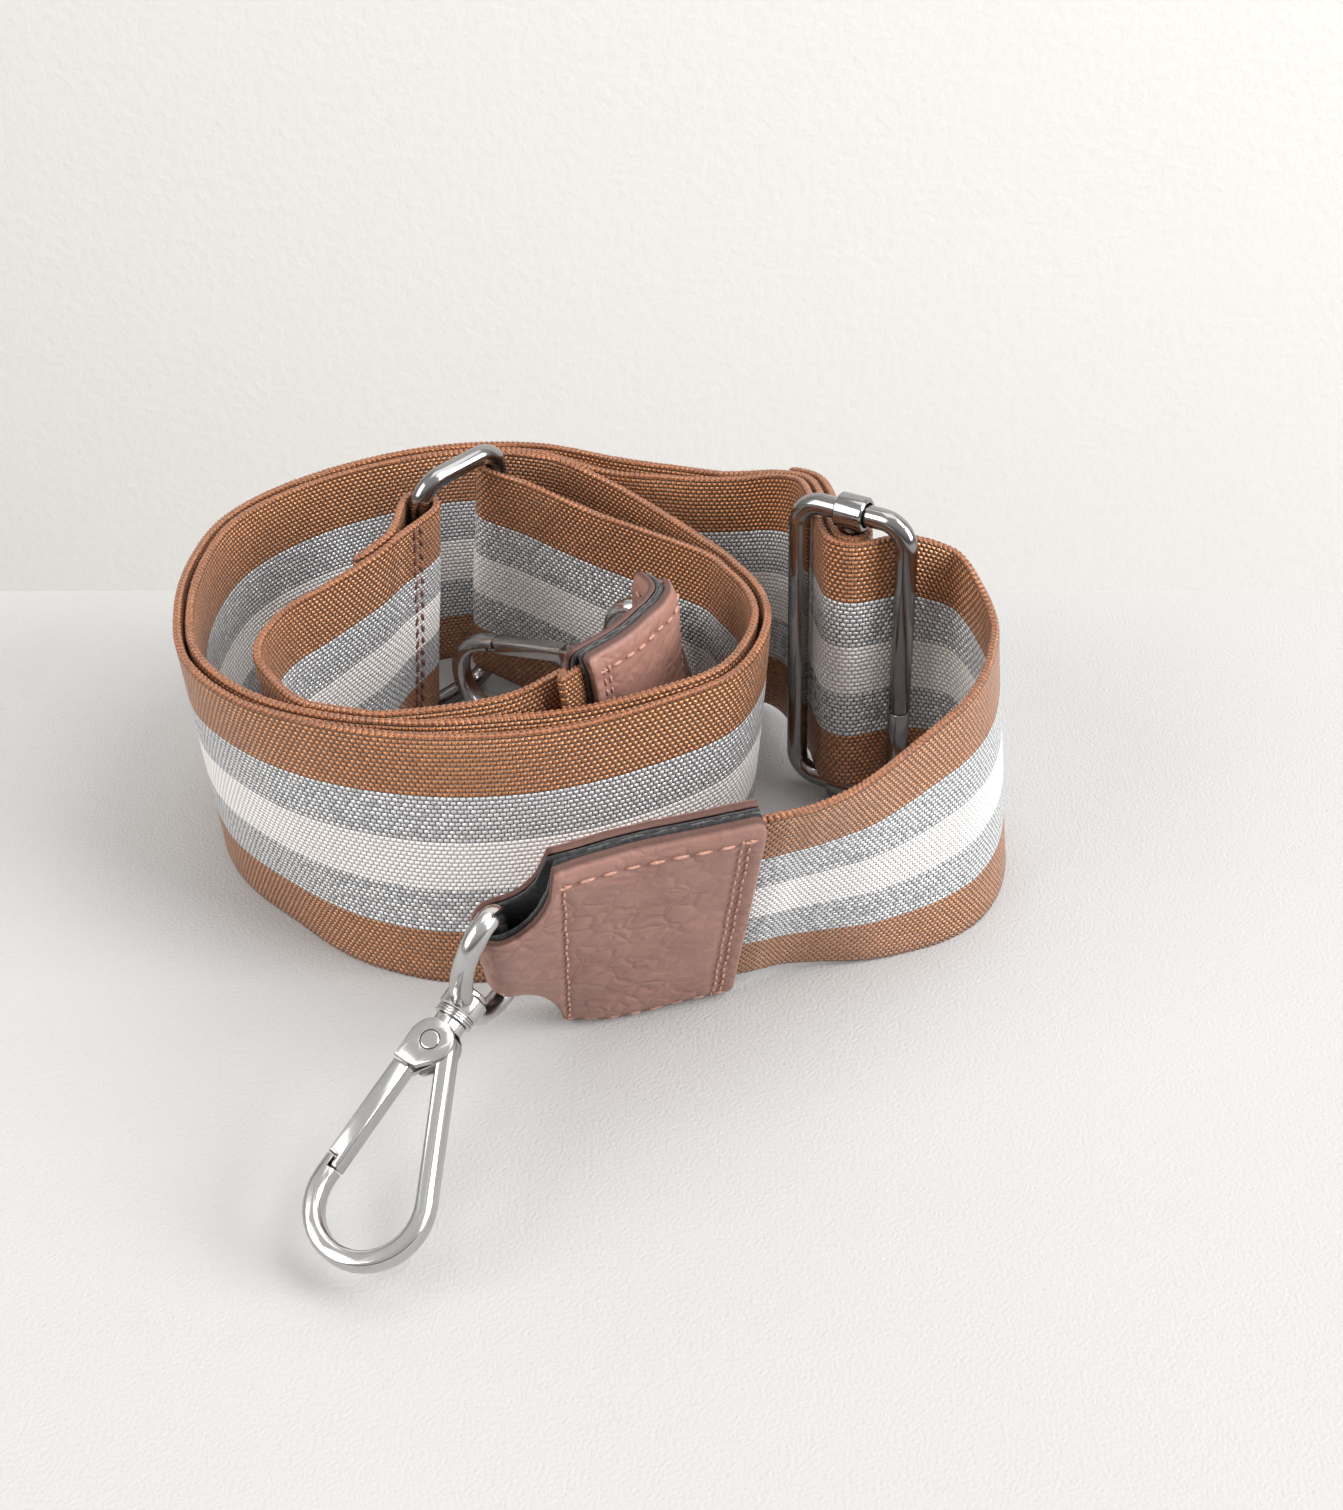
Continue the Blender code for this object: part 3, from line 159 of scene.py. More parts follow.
@dataclass(frozen=True)
class Sizes:
    """The strap's real sizes in metres and radians, and its coil as shares of its span."""

    webbing_width: float = 0.050
    webbing_thickness: float = 0.0014
    layer_gap: float = 0.0005
    tail_length: float = 0.022
    wrap_steps: int = 12
    short_tail_length: float = 0.013
    fit_gap: float = 0.0003
    strap_gap: float = 0.0004
    route_step: float = 0.00025
    facet_length: float = 0.0045
    coil_span: float = 0.097
    tab_height: float = 0.055
    tab_length: float = 0.0295
    shoulder_length: float = 0.0085
    tab_corner: float = 0.0015
    neck_height: float = 0.0232
    leather_thickness: float = 0.0010
    lining_thickness: float = 0.0006
    leather_gap: float = 0.0003
    webbing_in_tab: float = 0.020
    front_tab_reach: float = 0.0368
    front_neck_rise: float = 0.0020
    front_tab_yaw: float = math.radians(196.9)
    slider_wire: float = 0.0038
    slider_bar_wire: float = 0.0034
    slider_pitch: float = 0.0100
    slider_corner: float = 0.0045
    slider_eye_band: float = 0.0008
    slider_edge_gap: float = 0.00015
    slider_yaw: float = math.radians(-31)
    slider_tilt: float = math.radians(-2)
    slider_joint_share: float = 0.35
    ring_wire: float = 0.0036
    ring_pitch: float = 0.0178
    ring_corner: float = 0.0048
    ring_yaw: float = math.radians(46)
    ring_lean: float = math.radians(11.5)
    ring_tilt: float = math.radians(-4)
    ring_joint_share: float = 0.5
    ring_edge_room: float = 0.0016
    wire_joint_gap: float = 0.0002
    eye_wire: float = 0.0034
    coil_shares: tuple = (
        (0.381, 0.385, 0.00, -0.04, 0.012), (0.227, 0.455, 0.02, -0.09, 0.026),
        (0.041, 0.530, 0.04, -0.11, 0.002), (-0.155, 0.515, 0.04, -0.11, 0.002),
        (-0.340, 0.402, 0.00, -0.10, 0.002), (-0.466, 0.230, -0.01, -0.06, 0.002),
        (-0.502, 0.060, -0.01, -0.03, 0.002), (-0.490, -0.100, -0.02, -0.04, 0.002),
        (-0.428, -0.222, -0.06, -0.08, 0.002), (-0.322, -0.327, -0.06, -0.10, 0.002),
        (-0.203, -0.424, -0.02, -0.04, 0.003), (-0.062, -0.476, 0.00, 0.00, 0.014),
        (0.068, -0.474, 0.00, 0.00, 0.024), (0.190, -0.447, 0.00, 0.00, 0.020),
        (0.312, -0.389, 0.00, 0.00, 0.013), (0.416, -0.294, 0.03, -0.02, 0.006),
        (0.462, -0.165, 0.05, 0.00, 0.002), (0.454, -0.031, 0.05, -0.04, 0.002),
        (0.392, 0.124, 0.04, -0.08, 0.004),
    )
    far_shares: tuple = (
        (0.278, 0.278, 0.04, -0.10, 0.000), (0.175, 0.365, 0.05, -0.12, 0.020),
        (0.085, 0.410, 0.07, -0.15, 0.045),
    )
    near_shares: tuple = (
        (0.253, 0.201, 0.04, -0.10, 0.000), (0.175, 0.247, 0.05, -0.12, 0.010),
        (0.096, 0.296, 0.06, -0.14, 0.025), (0.030, 0.328, 0.07, -0.16, 0.045),
    )
    run_shares: tuple = (
        (0.552, 0.227, 0.02, 0.02, 0.050), (0.515, 0.294, 0.00, -0.01, 0.030),
        (0.459, 0.333, 0.00, -0.04, 0.012),
    )
    bend_shares: tuple = (
        (0.514, -0.456, 0.06, -0.35, 0.022), (0.582, -0.441, 0.03, -0.31, 0.014),
        (0.652, -0.430, -0.03, -0.26, 0.006), (0.723, -0.409, -0.07, -0.19, 0.000),
        (0.794, -0.381, -0.10, -0.12, 0.000), (0.856, -0.336, -0.13, -0.09, 0.000),
        (0.905, -0.262, -0.15, -0.09, 0.000), (0.930, -0.180, -0.15, -0.10, 0.000),
        (0.935, -0.095, -0.13, -0.10, 0.000), (0.905, -0.020, -0.10, -0.08, 0.015),
        (0.850, 0.022, -0.06, -0.04, 0.040),
    )
    curl_shares: tuple = (
        (-0.186, 0.155, 0.08, -0.18, 0.045), (-0.214, 0.105, 0.07, -0.14, 0.025),
        (-0.258, 0.050, 0.06, -0.12, 0.010), (-0.297, -0.015, 0.04, -0.09, 0.000),
        (-0.325, -0.080, 0.02, -0.06, 0.000), (-0.338, -0.150, 0.00, -0.04, 0.000),
        (-0.330, -0.225, -0.03, -0.04, 0.000), (-0.289, -0.298, -0.03, -0.06, 0.000),
    )
    follow_shares: tuple = (0.60, 0.665)
    front_short_shares: tuple = (
        (0.061, -0.385, 0.00, -0.02, 0.012), (0.132, -0.345, -0.03, -0.06, 0.025),
        (0.195, -0.285, -0.07, -0.13, 0.040),
    )
    slider_place_shares: tuple = (0.658, 0.021)
    ring_place_shares: tuple = (-0.108, 0.340)
    front_tab_start_shares: tuple = (0.422, -0.490, 0.068, -0.355, 0.000)
    rear_tab_shares: tuple = (
        (0.238, -0.260, -0.10, -0.18, 0.030), (0.287, -0.171, -0.08, -0.19, 0.018),
        (0.318, -0.083, -0.06, -0.19, 0.006), (0.338, -0.010, -0.05, -0.18, 0.000),
    )
    rear_bar_shares: tuple = (0.338, 0.083, -0.05, -0.18, 0.000)

    @property
    def layer_step(self) -> float:
        """Return the distance between two webbing layers' middles."""
        return self.webbing_thickness + self.layer_gap

    def wrap_radius(self, wire: float, layers: int = 0) -> float:
        """Return the radius of a webbing's middle round a wire, over other layers."""
        return wire / 2 + self.strap_gap + self.webbing_thickness / 2 + layers * self.layer_step


SIZES = Sizes()


def join_bands(bands: Iterable[Band]) -> Band:
    """Run one smooth route through several bands laid end to end."""
    rows = np.vstack([np.hstack((band.places, band.ups)) for band in bands])
    curve = spline_through(rows, SIZES.route_step)
    return Band(curve[:, :3], curve[:, 3:])


def floor_rows(table: Iterable[Sequence[float]]) -> Band:
    """Turn rows of shares into mid-line places and width directions above the floor."""
    places, ups = [], []
    for row in table:
        x, y, lift = (row[index] * SIZES.coil_span for index in (0, 1, 4))
        shift_x, shift_y = row[2] * SIZES.webbing_width, row[3] * SIZES.webbing_width
        rise = math.sqrt(SIZES.webbing_width ** 2 - shift_x ** 2 - shift_y ** 2)
        up = np.array((shift_x, shift_y, rise))
        places.append(np.array((x, y, lift)) + up / 2)
        ups.append(up)
    return Band(places, ups)


def axis_route(centre: np.ndarray, up: np.ndarray, radius: float, start: float, end: float,
               steps: int = 7) -> Band:
    """Walk round an axis at a radius from one angle to another, measured in plan."""
    up = unit(up)
    side = unit(np.cross((0.0, 1.0, 0.0), up))
    back = np.cross(up, side)
    angles = np.linspace(start, end, steps)
    places = [centre + radius * (math.cos(a) * side + math.sin(a) * back) for a in angles]
    return Band(places, [up] * steps)


def tangent_angles(first: np.ndarray, first_radius: float, second: np.ndarray,
                   second_radius: float) -> tuple[float, float]:
    """Find where a taut band leaves one circle and meets the next.

    Args:
        first: Centre of the circle that the band leaves.
        first_radius: Its radius, positive with the centre on the left of the walk.
        second: Centre of the circle that the band meets.
        second_radius: Its radius, signed the same way.

    Returns:
        The plan angle on each circle, in radians.
    """
    gap = np.asarray(second, float)[:2] - np.asarray(first, float)[:2]
    turn = math.asin(np.clip((second_radius - first_radius) / math.hypot(*gap), -1, 1))
    direction = math.atan2(gap[1], gap[0]) - turn
    return (direction - math.copysign(math.pi / 2, first_radius),
            direction - math.copysign(math.pi / 2, second_radius))


# A band that would swing this far round a post only grazes it
GRAZING_SWING = 1.7 * math.pi


def taut_route(stops: Sequence[tuple[np.ndarray, np.ndarray, float]]) -> list[Band]:
    """Wrap a band round a chain of posts, each a centre, an up and a signed radius."""
    angles = [tangent_angles(near[0], near[2], far[0], far[2])
              for near, far in zip(stops, stops[1:])]
    bands = []
    for index, (centre, up, radius) in enumerate(stops):
        if radius == 0:
            bands.append(Band([centre], [up]))
            continue
        start, way = angles[index - 1][1], math.copysign(1.0, radius)
        swing = way * (angles[index][0] - start) % (2 * math.pi)
        if swing > GRAZING_SWING:
            middle = start + way * (swing / 2 - math.pi)
            bands.append(axis_route(centre, up, abs(radius), middle, middle, 1))
        else:
            bands.append(axis_route(centre, up, abs(radius), start, start + way * swing))
    return bands


class WireLoop:
    """A rectangular loop of round wire standing on a short side."""

    def __init__(self, place_shares: Sequence[float], turns: tuple[float, float, float],
                 wire: float, pitch: float, corner: float, inner: float, stand: float) -> None:
        """Place the loop's frame, lifted so that its lower side rests on the floor."""
        self.wire, self.pitch, self.corner = wire, pitch, corner
        self.height = inner + wire
        yaw, lean, tilt = turns
        base = Vector((place_shares[0] * SIZES.coil_span, place_shares[1] * SIZES.coil_span, 0))
        turn = (Matrix.Rotation(yaw, 4, "Z") @ Matrix.Rotation(lean, 4, "X")
                @ Matrix.Rotation(tilt, 4, "Y"))
        lows = [(turn @ Vector((side * (pitch / 2 - corner), 0, 0))).z for side in (-1, 1)]
        lift = wire / 2 - min(lows) + stand
        self.frame = Matrix.Translation(base + Vector((0, 0, lift))) @ turn
        self.up = np.array(turn @ Vector((0, 0, 1)))

    def bar_place(self, side: float, height: float) -> np.ndarray:
        """Return a place on a long bar's axis, above the lower short side's axis."""
        return np.array(self.frame @ Vector((side * self.pitch / 2, 0, height)))


def ring_shift(ring: WireLoop) -> np.ndarray:
    """Return the step from the routes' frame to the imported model's, from the ring's hinge."""
    hinge = next(joint for joint in frame["joints"] if joint["name"] == "ring_hinge")
    return np.array(hinge["pos_m"]) - ring.bar_place(-1, 0.0)


class Layout:
    """Every route of the strap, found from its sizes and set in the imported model's frame."""

    def __init__(self) -> None:
        """Walk each webbing and tab, then find the shift that puts them where the solids are."""
        s = SIZES
        slider_inner = s.webbing_width + 2 * (s.slider_eye_band + s.fit_gap + s.slider_edge_gap)
        self.slider = WireLoop(s.slider_place_shares, (s.slider_yaw, 0.0, s.slider_tilt),
                               s.slider_wire, 2 * s.slider_pitch, s.slider_corner, slider_inner,
                               s.slider_eye_band + s.fit_gap)
        self.ring = WireLoop(s.ring_place_shares, (s.ring_yaw, s.ring_lean, s.ring_tilt),
                             s.ring_wire, s.ring_pitch, s.ring_corner,
                             s.webbing_width + 2 * s.ring_edge_room, 0.0)
        bars = {joint["name"]: np.array(joint["axis"]) for joint in frame["joints"]}
        self.front_tab = self.front_tab_middle(bars["front_eye_hinge"])
        self.rear_tab = self.rear_tab_middle(bars["rear_eye_hinge"])
        self.long = self.long_webbing()
        self.short = self.short_webbing()
        self.shift = ring_shift(self.ring)

    def slider_middle(self, side: float) -> np.ndarray:
        """Return the webbing's middle on one of the slider's three bars."""
        s = SIZES
        height = (s.slider_wire / 2 + s.slider_eye_band + s.fit_gap + s.slider_edge_gap
                  + s.webbing_width / 2)
        return self.slider.bar_place(side, height)

    def ring_middle(self, side: float) -> np.ndarray:
        """Return the webbing's middle on one of the ring's long bars."""
        s = SIZES
        return self.ring.bar_place(side, s.ring_wire / 2 + s.ring_edge_room + s.webbing_width / 2)

    def coil(self) -> tuple[Band, Band]:
        """Return the coil's outer layer walked anticlockwise, and the layer inside it."""
        rows = floor_rows([(*row[:4], 0.0) for row in SIZES.coil_shares])
        room = np.array([row[4] for row in SIZES.coil_shares])[:, None] * SIZES.coil_span
        curve = spline_through(np.hstack((rows.places, rows.ups, room)), SIZES.route_step)
        outer = Band(curve[:, :3], curve[:, 3:6])
        shift = (SIZES.layer_step + curve[:, 6])[:, None]
        return outer, Band(outer.places + outer.normals() * shift, outer.ups)

    def front_tab_middle(self, bar: np.ndarray) -> Band:
        """Walk the front tab's mid-plane from its wide end to the hook eye's bar."""
        s = SIZES
        start = floor_rows([s.front_tab_start_shares]).raised((s.tab_height - s.webbing_width) / 2)
        up = start.ups[0]
        along = np.array((math.cos(s.front_tab_yaw), math.sin(s.front_tab_yaw), 0.0))
        along = unit(along - up * (along @ up))
        side = np.cross(up, along)
        lift = abs(side[2]) * (s.webbing_thickness / 2 + s.lining_thickness
                               + s.leather_thickness + 2 * s.leather_gap)
        first = start.places[0] + np.array((0.0, 0.0, lift))
        places = [first + along * reach for reach in (0.0, s.webbing_in_tab / 2, s.webbing_in_tab)]
        places.append(first + along * s.front_tab_reach + up * s.front_neck_rise)
        return join_bands([Band(places, [up, up, up, bar])])

    def rear_tab_middle(self, bar: np.ndarray) -> Band:
        """Walk the rear tab's mid-plane from its wide end to the hook eye's bar."""
        rise = (SIZES.tab_height - SIZES.webbing_width) / 2
        rows = floor_rows(SIZES.rear_tab_shares).raised(rise)
        end = floor_rows([SIZES.rear_bar_shares]).raised(rise)
        return join_bands([rows, Band(end.places, [bar])])

    def webbing_in(self, tab: Band) -> Band:
        """Return a webbing's way into a tab."""
        inside = tab.part(0, SIZES.webbing_in_tab)
        start = inside.places[0]
        lead = start + unit(start - inside.places[4]) * SIZES.facet_length
        return Band(np.vstack((lead, inside.places)), np.vstack((inside.ups[0], inside.ups)))

    def long_webbing(self) -> Band:
        """Walk the long webbing from the front tab to its sewn end at the slider's bar."""
        s = SIZES
        outer, inner = self.coil()
        up = self.slider.up
        right, centre, left = (self.slider_middle(side) for side in (1, 0, -1))
        bend, run = floor_rows(s.bend_shares), floor_rows(s.run_shares)
        around = s.wrap_radius(s.slider_wire)
        right_wrap, front_pass, left_wrap = taut_route([
            (bend.places[-1], bend.ups[-1], 0), (right, up, around),
            (centre, up, -s.wrap_radius(s.slider_bar_wire, 1)), (left, up, around),
            (run.places[0], run.ups[0], 0)])[1:4]
        inner_places = inner.thinned(s.facet_length)
        back_run = join_bands([left_wrap, run, inner_places.part(0, 0)])
        far, near = floor_rows(s.far_shares), floor_rows(s.near_shares)
        ring_wrap = taut_route([
            (near.places[-1], near.ups[-1], 0),
            (self.ring_middle(1), self.ring.up, -s.wrap_radius(s.ring_wire)),
            (far.places[-1], far.ups[-1], 0)])[1]
        main_run = back_run.offset(-s.layer_step)
        main_run = main_run.part(0, main_run.lengths[-1] - s.facet_length).thinned(s.layer_step)
        own = s.wrap_radius(s.slider_bar_wire)
        start = tangent_angles(left, -s.wrap_radius(s.slider_wire, 1), centre, own)[1]
        end, meet = tangent_angles(centre, own, left, s.wrap_radius(s.slider_wire, 2))
        while end < start:
            end += 2 * math.pi
        bar_wrap = axis_route(centre, up, own, start, end, s.wrap_steps)
        tail = back_run.offset(-2 * s.layer_step)
        over = tail.places - left
        angle = np.unwrap(np.arctan2(over[:, 1], over[:, 0]))
        while meet < angle[0] - math.pi:
            meet += 2 * math.pi
        while meet > angle[0] + math.pi:
            meet -= 2 * math.pi
        first = int(np.argmax(angle >= meet))
        tail = Band(tail.places[first:], tail.ups[first:]).part(0, s.tail_length)
        return join_bands([
            self.webbing_in(self.front_tab).reversed(), bend, right_wrap, front_pass, left_wrap,
            run, inner_places, near, ring_wrap, far.reversed(),
            outer.thinned(s.facet_length).reversed(), main_run.reversed(), bar_wrap,
            tail.thinned(s.layer_step)])

    def short_webbing(self) -> Band:
        """Walk the short webbing from its sewn end at the ring to inside the rear tab."""
        s = SIZES
        _, inner = self.coil()
        curl = join_bands([floor_rows(s.curl_shares)])
        tail = curl.offset(-s.layer_step).part(0, s.short_tail_length)
        ring_wrap = taut_route([
            (tail.places[0], tail.ups[0], 0),
            (self.ring_middle(-1), self.ring.up, -s.wrap_radius(s.ring_wire)),
            (curl.places[0], curl.ups[0], 0)])[1]
        beside = inner.offset(s.layer_step)
        first, last = (share * beside.lengths[-1] for share in s.follow_shares)
        return join_bands([
            tail.thinned(s.facet_length).reversed(), ring_wrap, curl.thinned(s.facet_length),
            beside.part(first, last).thinned(s.facet_length), floor_rows(s.front_short_shares),
            self.webbing_in(self.rear_tab)])

    def panel(self, middle: Band) -> Band:
        """Fold a tab's lining round the eye: out on the left of the mid-plane, back on the right.

        Args:
            middle: The tab's mid-plane, from its wide end to the eye's bar.

        Returns:
            The route of the lining's middle.
        """
        s = SIZES
        beside = s.webbing_thickness / 2 + s.leather_gap + s.lining_thickness / 2
        around = s.eye_wire / 2 + s.fit_gap + s.lining_thickness / 2
        out = middle.offset(beside).part(0, s.tab_length).thinned(s.facet_length)
        back = middle.offset(-beside).part(0, s.tab_length).thinned(s.facet_length).reversed()
        fold = taut_route([(out.places[-1], out.ups[-1], 0),
                           (middle.places[-1], middle.ups[-1], -around),
                           (back.places[0], back.ups[0], 0)])[1]
        return join_bands([out, fold, back])


# Node trees

class Tree:
    """Short calls that fill a shader or geometry node tree."""

    def __init__(self, tree: bpy.types.NodeTree) -> None:
        """Keep the tree and start its layout at the left."""
        self.tree = tree
        self.column = 0

    def node(self, kind: str, inputs: dict[Any, Any] | None = None, **settings: Any) -> bpy.types.Node:
        """Add a node.

        Args:
            kind: The node's type name.
            inputs: Values or sockets for its inputs, by name or index.
            settings: The node's own settings.

        Returns:
            The new node.
        """
        made = self.tree.nodes.new(kind)
        made.location = (180 * (self.column % 30), -220 * (self.column // 30))
        self.column += 1
        for name, value in settings.items():
            setattr(made, name, value)
        self.fill(made, inputs or {})
        return made

    def fill(self, node: bpy.types.Node, inputs: dict[Any, Any]) -> None:
        """Link sockets to a node's inputs, or set the inputs' values, by name or index."""
        for name, value in inputs.items():
            if isinstance(value, bpy.types.NodeSocket):
                self.tree.links.new(value, node.inputs[name])
            else:
                node.inputs[name].default_value = value

    def math(self, operation: str, *values: Any, clamp: bool = False) -> bpy.types.NodeSocket:
        """Return the result of a Math node."""
        return self.node("ShaderNodeMath", dict(enumerate(values)), operation=operation,
                         use_clamp=clamp).outputs[0]

    def times(self, first: Any, second: Any) -> bpy.types.NodeSocket:
        """Return the product of two numbers."""
        return self.math("MULTIPLY", first, second)

    def plus(self, first: Any, second: Any) -> bpy.types.NodeSocket:
        """Return the sum of two numbers."""
        return self.math("ADD", first, second)

    def less(self, first: Any, second: Any) -> bpy.types.NodeSocket:
        """Return the first number less the second."""
        return self.math("SUBTRACT", first, second)

    def mix(self, factor: Any, first: Any, second: Any) -> bpy.types.NodeSocket:
        """Return a colour mixed from two."""
        first, second = ((*c, 1.0) if isinstance(c, tuple) and len(c) == 3 else c
                         for c in (first, second))
        return self.node("ShaderNodeMix", {0: factor, 6: first, 7: second}, data_type="RGBA").outputs[2]

    def blend(self, factor: Any, first: Any, second: Any) -> bpy.types.NodeSocket:
        """Return a number mixed from two."""
        return self.node("ShaderNodeMix", {0: factor, 2: first, 3: second}).outputs[0]

    def step(self, value: Any, low: float, high: float, to_low: float = 0.0,
             to_high: float = 1.0) -> bpy.types.NodeSocket:
        """Return a smooth step of a value between two limits."""
        return self.node("ShaderNodeMapRange", {0: value, 1: low, 2: high, 3: to_low, 4: to_high},
                         interpolation_type="SMOOTHSTEP").outputs[0]

    def noise(self, place: Any, scale: Any, detail: float = 2.0, rough: float = 0.5) -> bpy.types.NodeSocket:
        """Return a Noise Texture's value."""
        return self.node("ShaderNodeTexNoise", {"Vector": place, "Scale": scale, "Detail": detail,
                                                "Roughness": rough}).outputs["Fac"]

    def own_place(self) -> bpy.types.NodeSocket:
        """Return places in the object's own space."""
        return self.node("ShaderNodeTexCoord").outputs["Object"]


def new_group(name: str, inputs: dict[str, Any], outputs: Sequence[str]) -> tuple[Tree, Any, Any]:
    """Start a shader node group whose results are all numbers.

    Args:
        name: The group's name.
        inputs: Input names with their default numbers, or None for a vector.
        outputs: Output names.

    Returns:
        The tree, the sockets that bring its inputs, and its output node.
    """
    group = bpy.data.node_groups.new(name, "ShaderNodeTree")
    for label, value in inputs.items():
        kind = "NodeSocketVector" if value is None else "NodeSocketFloat"
        socket = group.interface.new_socket(name=label, in_out="INPUT", socket_type=kind)
        if value is not None:
            socket.default_value = value
    for label in outputs:
        group.interface.new_socket(name=label, in_out="OUTPUT", socket_type="NodeSocketFloat")
    tree = Tree(group)
    return tree, tree.node("NodeGroupInput").outputs, tree.node("NodeGroupOutput")


def weave_group() -> bpy.types.NodeTree:
    """Build the plain weave: bead-like floats of warp in brick order, each with its own number."""
    tree, given, out = new_group(
        "plain weave", {"Place": None, "Pitch Along": 0.0008, "Pitch Across": 0.0006, "Waver": 0.06},
        ("Height", "Gap", "Chance", "Tilt", "Strand", "Row Place"))
    place = given["Place"]
    parts = tree.node("ShaderNodeSeparateXYZ", {0: place}).outputs
    wander = tree.times(tree.less(tree.noise(place, scale=260.0), 0.5), given["Waver"])
    across = tree.plus(tree.math("DIVIDE", parts[1], given["Pitch Across"]), tree.times(wander, 4.0))
    row = tree.math("FLOOR", across)
    brick_shift = tree.times(tree.math("MODULO", tree.math("ABSOLUTE", row), 2.0), 0.5)
    along = tree.plus(tree.math("DIVIDE", parts[0], given["Pitch Along"]), brick_shift)
    along = tree.plus(along, tree.times(wander, 3.0))
    part_along, part_across = tree.math("FRACT", along), tree.math("FRACT", across)
    waves = [tree.math("SINE", tree.times(part, math.pi)) for part in (part_along, part_across)]
    bead = tree.math("POWER", tree.times(*waves), 0.55)
    cell = tree.node("ShaderNodeCombineXYZ", {0: tree.math("FLOOR", along), 1: row}).outputs[0]
    chance = tree.node("ShaderNodeTexWhiteNoise", {"Vector": cell},
                       noise_dimensions="2D").outputs["Value"]
    lean = tree.times(tree.less(part_along, 0.5), tree.less(chance, 0.5))
    fibre = tree.times(tree.plus(part_across, tree.times(lean, 0.5)), 3 * math.pi)
    strand = tree.math("POWER", tree.math("ABSOLUTE", tree.math("SINE", fibre)), 0.7)
    tree.fill(out, {"Height": bead, "Gap": tree.step(bead, 0.30, 0.75, 1.0, 0.0), "Chance": chance,
                    "Tilt": lean, "Strand": strand,
                    "Row Place": tree.times(tree.plus(row, 0.5), given["Pitch Across"])})
    return tree.tree


def grain_group() -> bpy.types.NodeTree:
    """Build pebbled leather: wandering creases between soft cells over fine pores."""
    tree, given, out = new_group(
        "pebbled grain", {"Place": None, "Cell": 0.0030, "Crease Depth": 1.0, "Pore Depth": 0.25},
        ("Height", "Crease", "Mottle"))
    place = given["Place"]
    wander = tree.node("ShaderNodeTexNoise", {"Vector": place, "Scale": 210.0, "Detail": 3.0})
    push = tree.node("ShaderNodeVectorMath", {0: wander.outputs["Color"], 1: (0.5, 0.5, 0.5)},
                     operation="SUBTRACT")
    push = tree.node("ShaderNodeVectorMath", {0: push.outputs[0], "Scale": 0.0042}, operation="SCALE")
    warped = tree.node("ShaderNodeVectorMath", {0: place, 1: push.outputs[0]},
                       operation="ADD").outputs[0]
    cell_scale = tree.math("DIVIDE", 1.0, given["Cell"])
    from_edge = tree.node("ShaderNodeTexVoronoi", {"Vector": warped, "Scale": cell_scale,
                                                   "Randomness": 1.0},
                          feature="DISTANCE_TO_EDGE").outputs["Distance"]
    creased = tree.step(tree.noise(place, scale=95.0), 0.42, 0.62)
    crease = tree.times(tree.step(from_edge, 0.0, 0.20, 1.0, 0.0), tree.blend(creased, 0.25, 1.0))
    fine = tree.node("ShaderNodeTexVoronoi", {"Vector": warped, "Scale": 1500.0}).outputs["Distance"]
    dome = tree.times(tree.step(from_edge, 0.0, 0.45), 0.5)
    height = tree.less(dome, tree.times(crease, given["Crease Depth"]))
    tree.fill(out, {"Height": tree.less(height, tree.times(fine, given["Pore Depth"])),
                    "Crease": crease, "Mottle": tree.noise(place, scale=130.0, detail=3.0)})
    return tree.tree


def polish_group() -> bpy.types.NodeTree:
    """Build a plated surface's wear: soft smears, hair scratches and tiny ripples."""
    tree, given, out = new_group("polish wear", {"Place": None, "Smear": 0.5, "Scratch": 0.3},
                                 ("Dull", "Height", "Shade"))
    place = given["Place"]
    smear = tree.step(tree.noise(place, scale=240.0, detail=3.0, rough=0.6), 0.45, 0.75)
    stretched = tree.node("ShaderNodeMapping", {"Vector": place, "Rotation": (0.4, 0.3, 0.9),
                                                "Scale": (9000.0, 380.0, 380.0)}).outputs[0]
    hair = tree.step(tree.noise(stretched, scale=1.0, detail=1.0), 0.66, 0.74)
    dull = tree.plus(tree.times(smear, given["Smear"]), tree.times(hair, given["Scratch"]))
    tree.fill(out, {"Dull": dull, "Height": tree.noise(place, scale=420.0, detail=1.0),
                    "Shade": smear})
    return tree.tree


GROUPS = {"weave": weave_group(), "grain": grain_group(), "polish": polish_group()}


# Finishes

def start_material(name: str) -> tuple[bpy.types.Material, Tree, bpy.types.Node]:
    """Make a material that holds one Principled shader, and return it with its tree."""
    material = bpy.data.materials.new(name)
    material.use_nodes = True
    material.node_tree.nodes.clear()
    tree = Tree(material.node_tree)
    shader = tree.node("ShaderNodeBsdfPrincipled")
    tree.node("ShaderNodeOutputMaterial", {"Surface": shader.outputs[0]})
    return material, tree, shader


def grouped(tree: Tree, name: str, inputs: dict[str, Any]) -> Any:
    """Place a shared group in a material with its own values, and return its outputs."""
    return tree.node("ShaderNodeGroup", inputs, node_tree=GROUPS[name]).outputs


def bumped(tree: Tree, height: Any, distance: float, strength: float = 1.0) -> bpy.types.NodeSocket:
    """Return the normal of a surface raised by a height."""
    return tree.node("ShaderNodeBump", {"Strength": strength, "Distance": distance,
                                        "Height": height}).outputs[0]


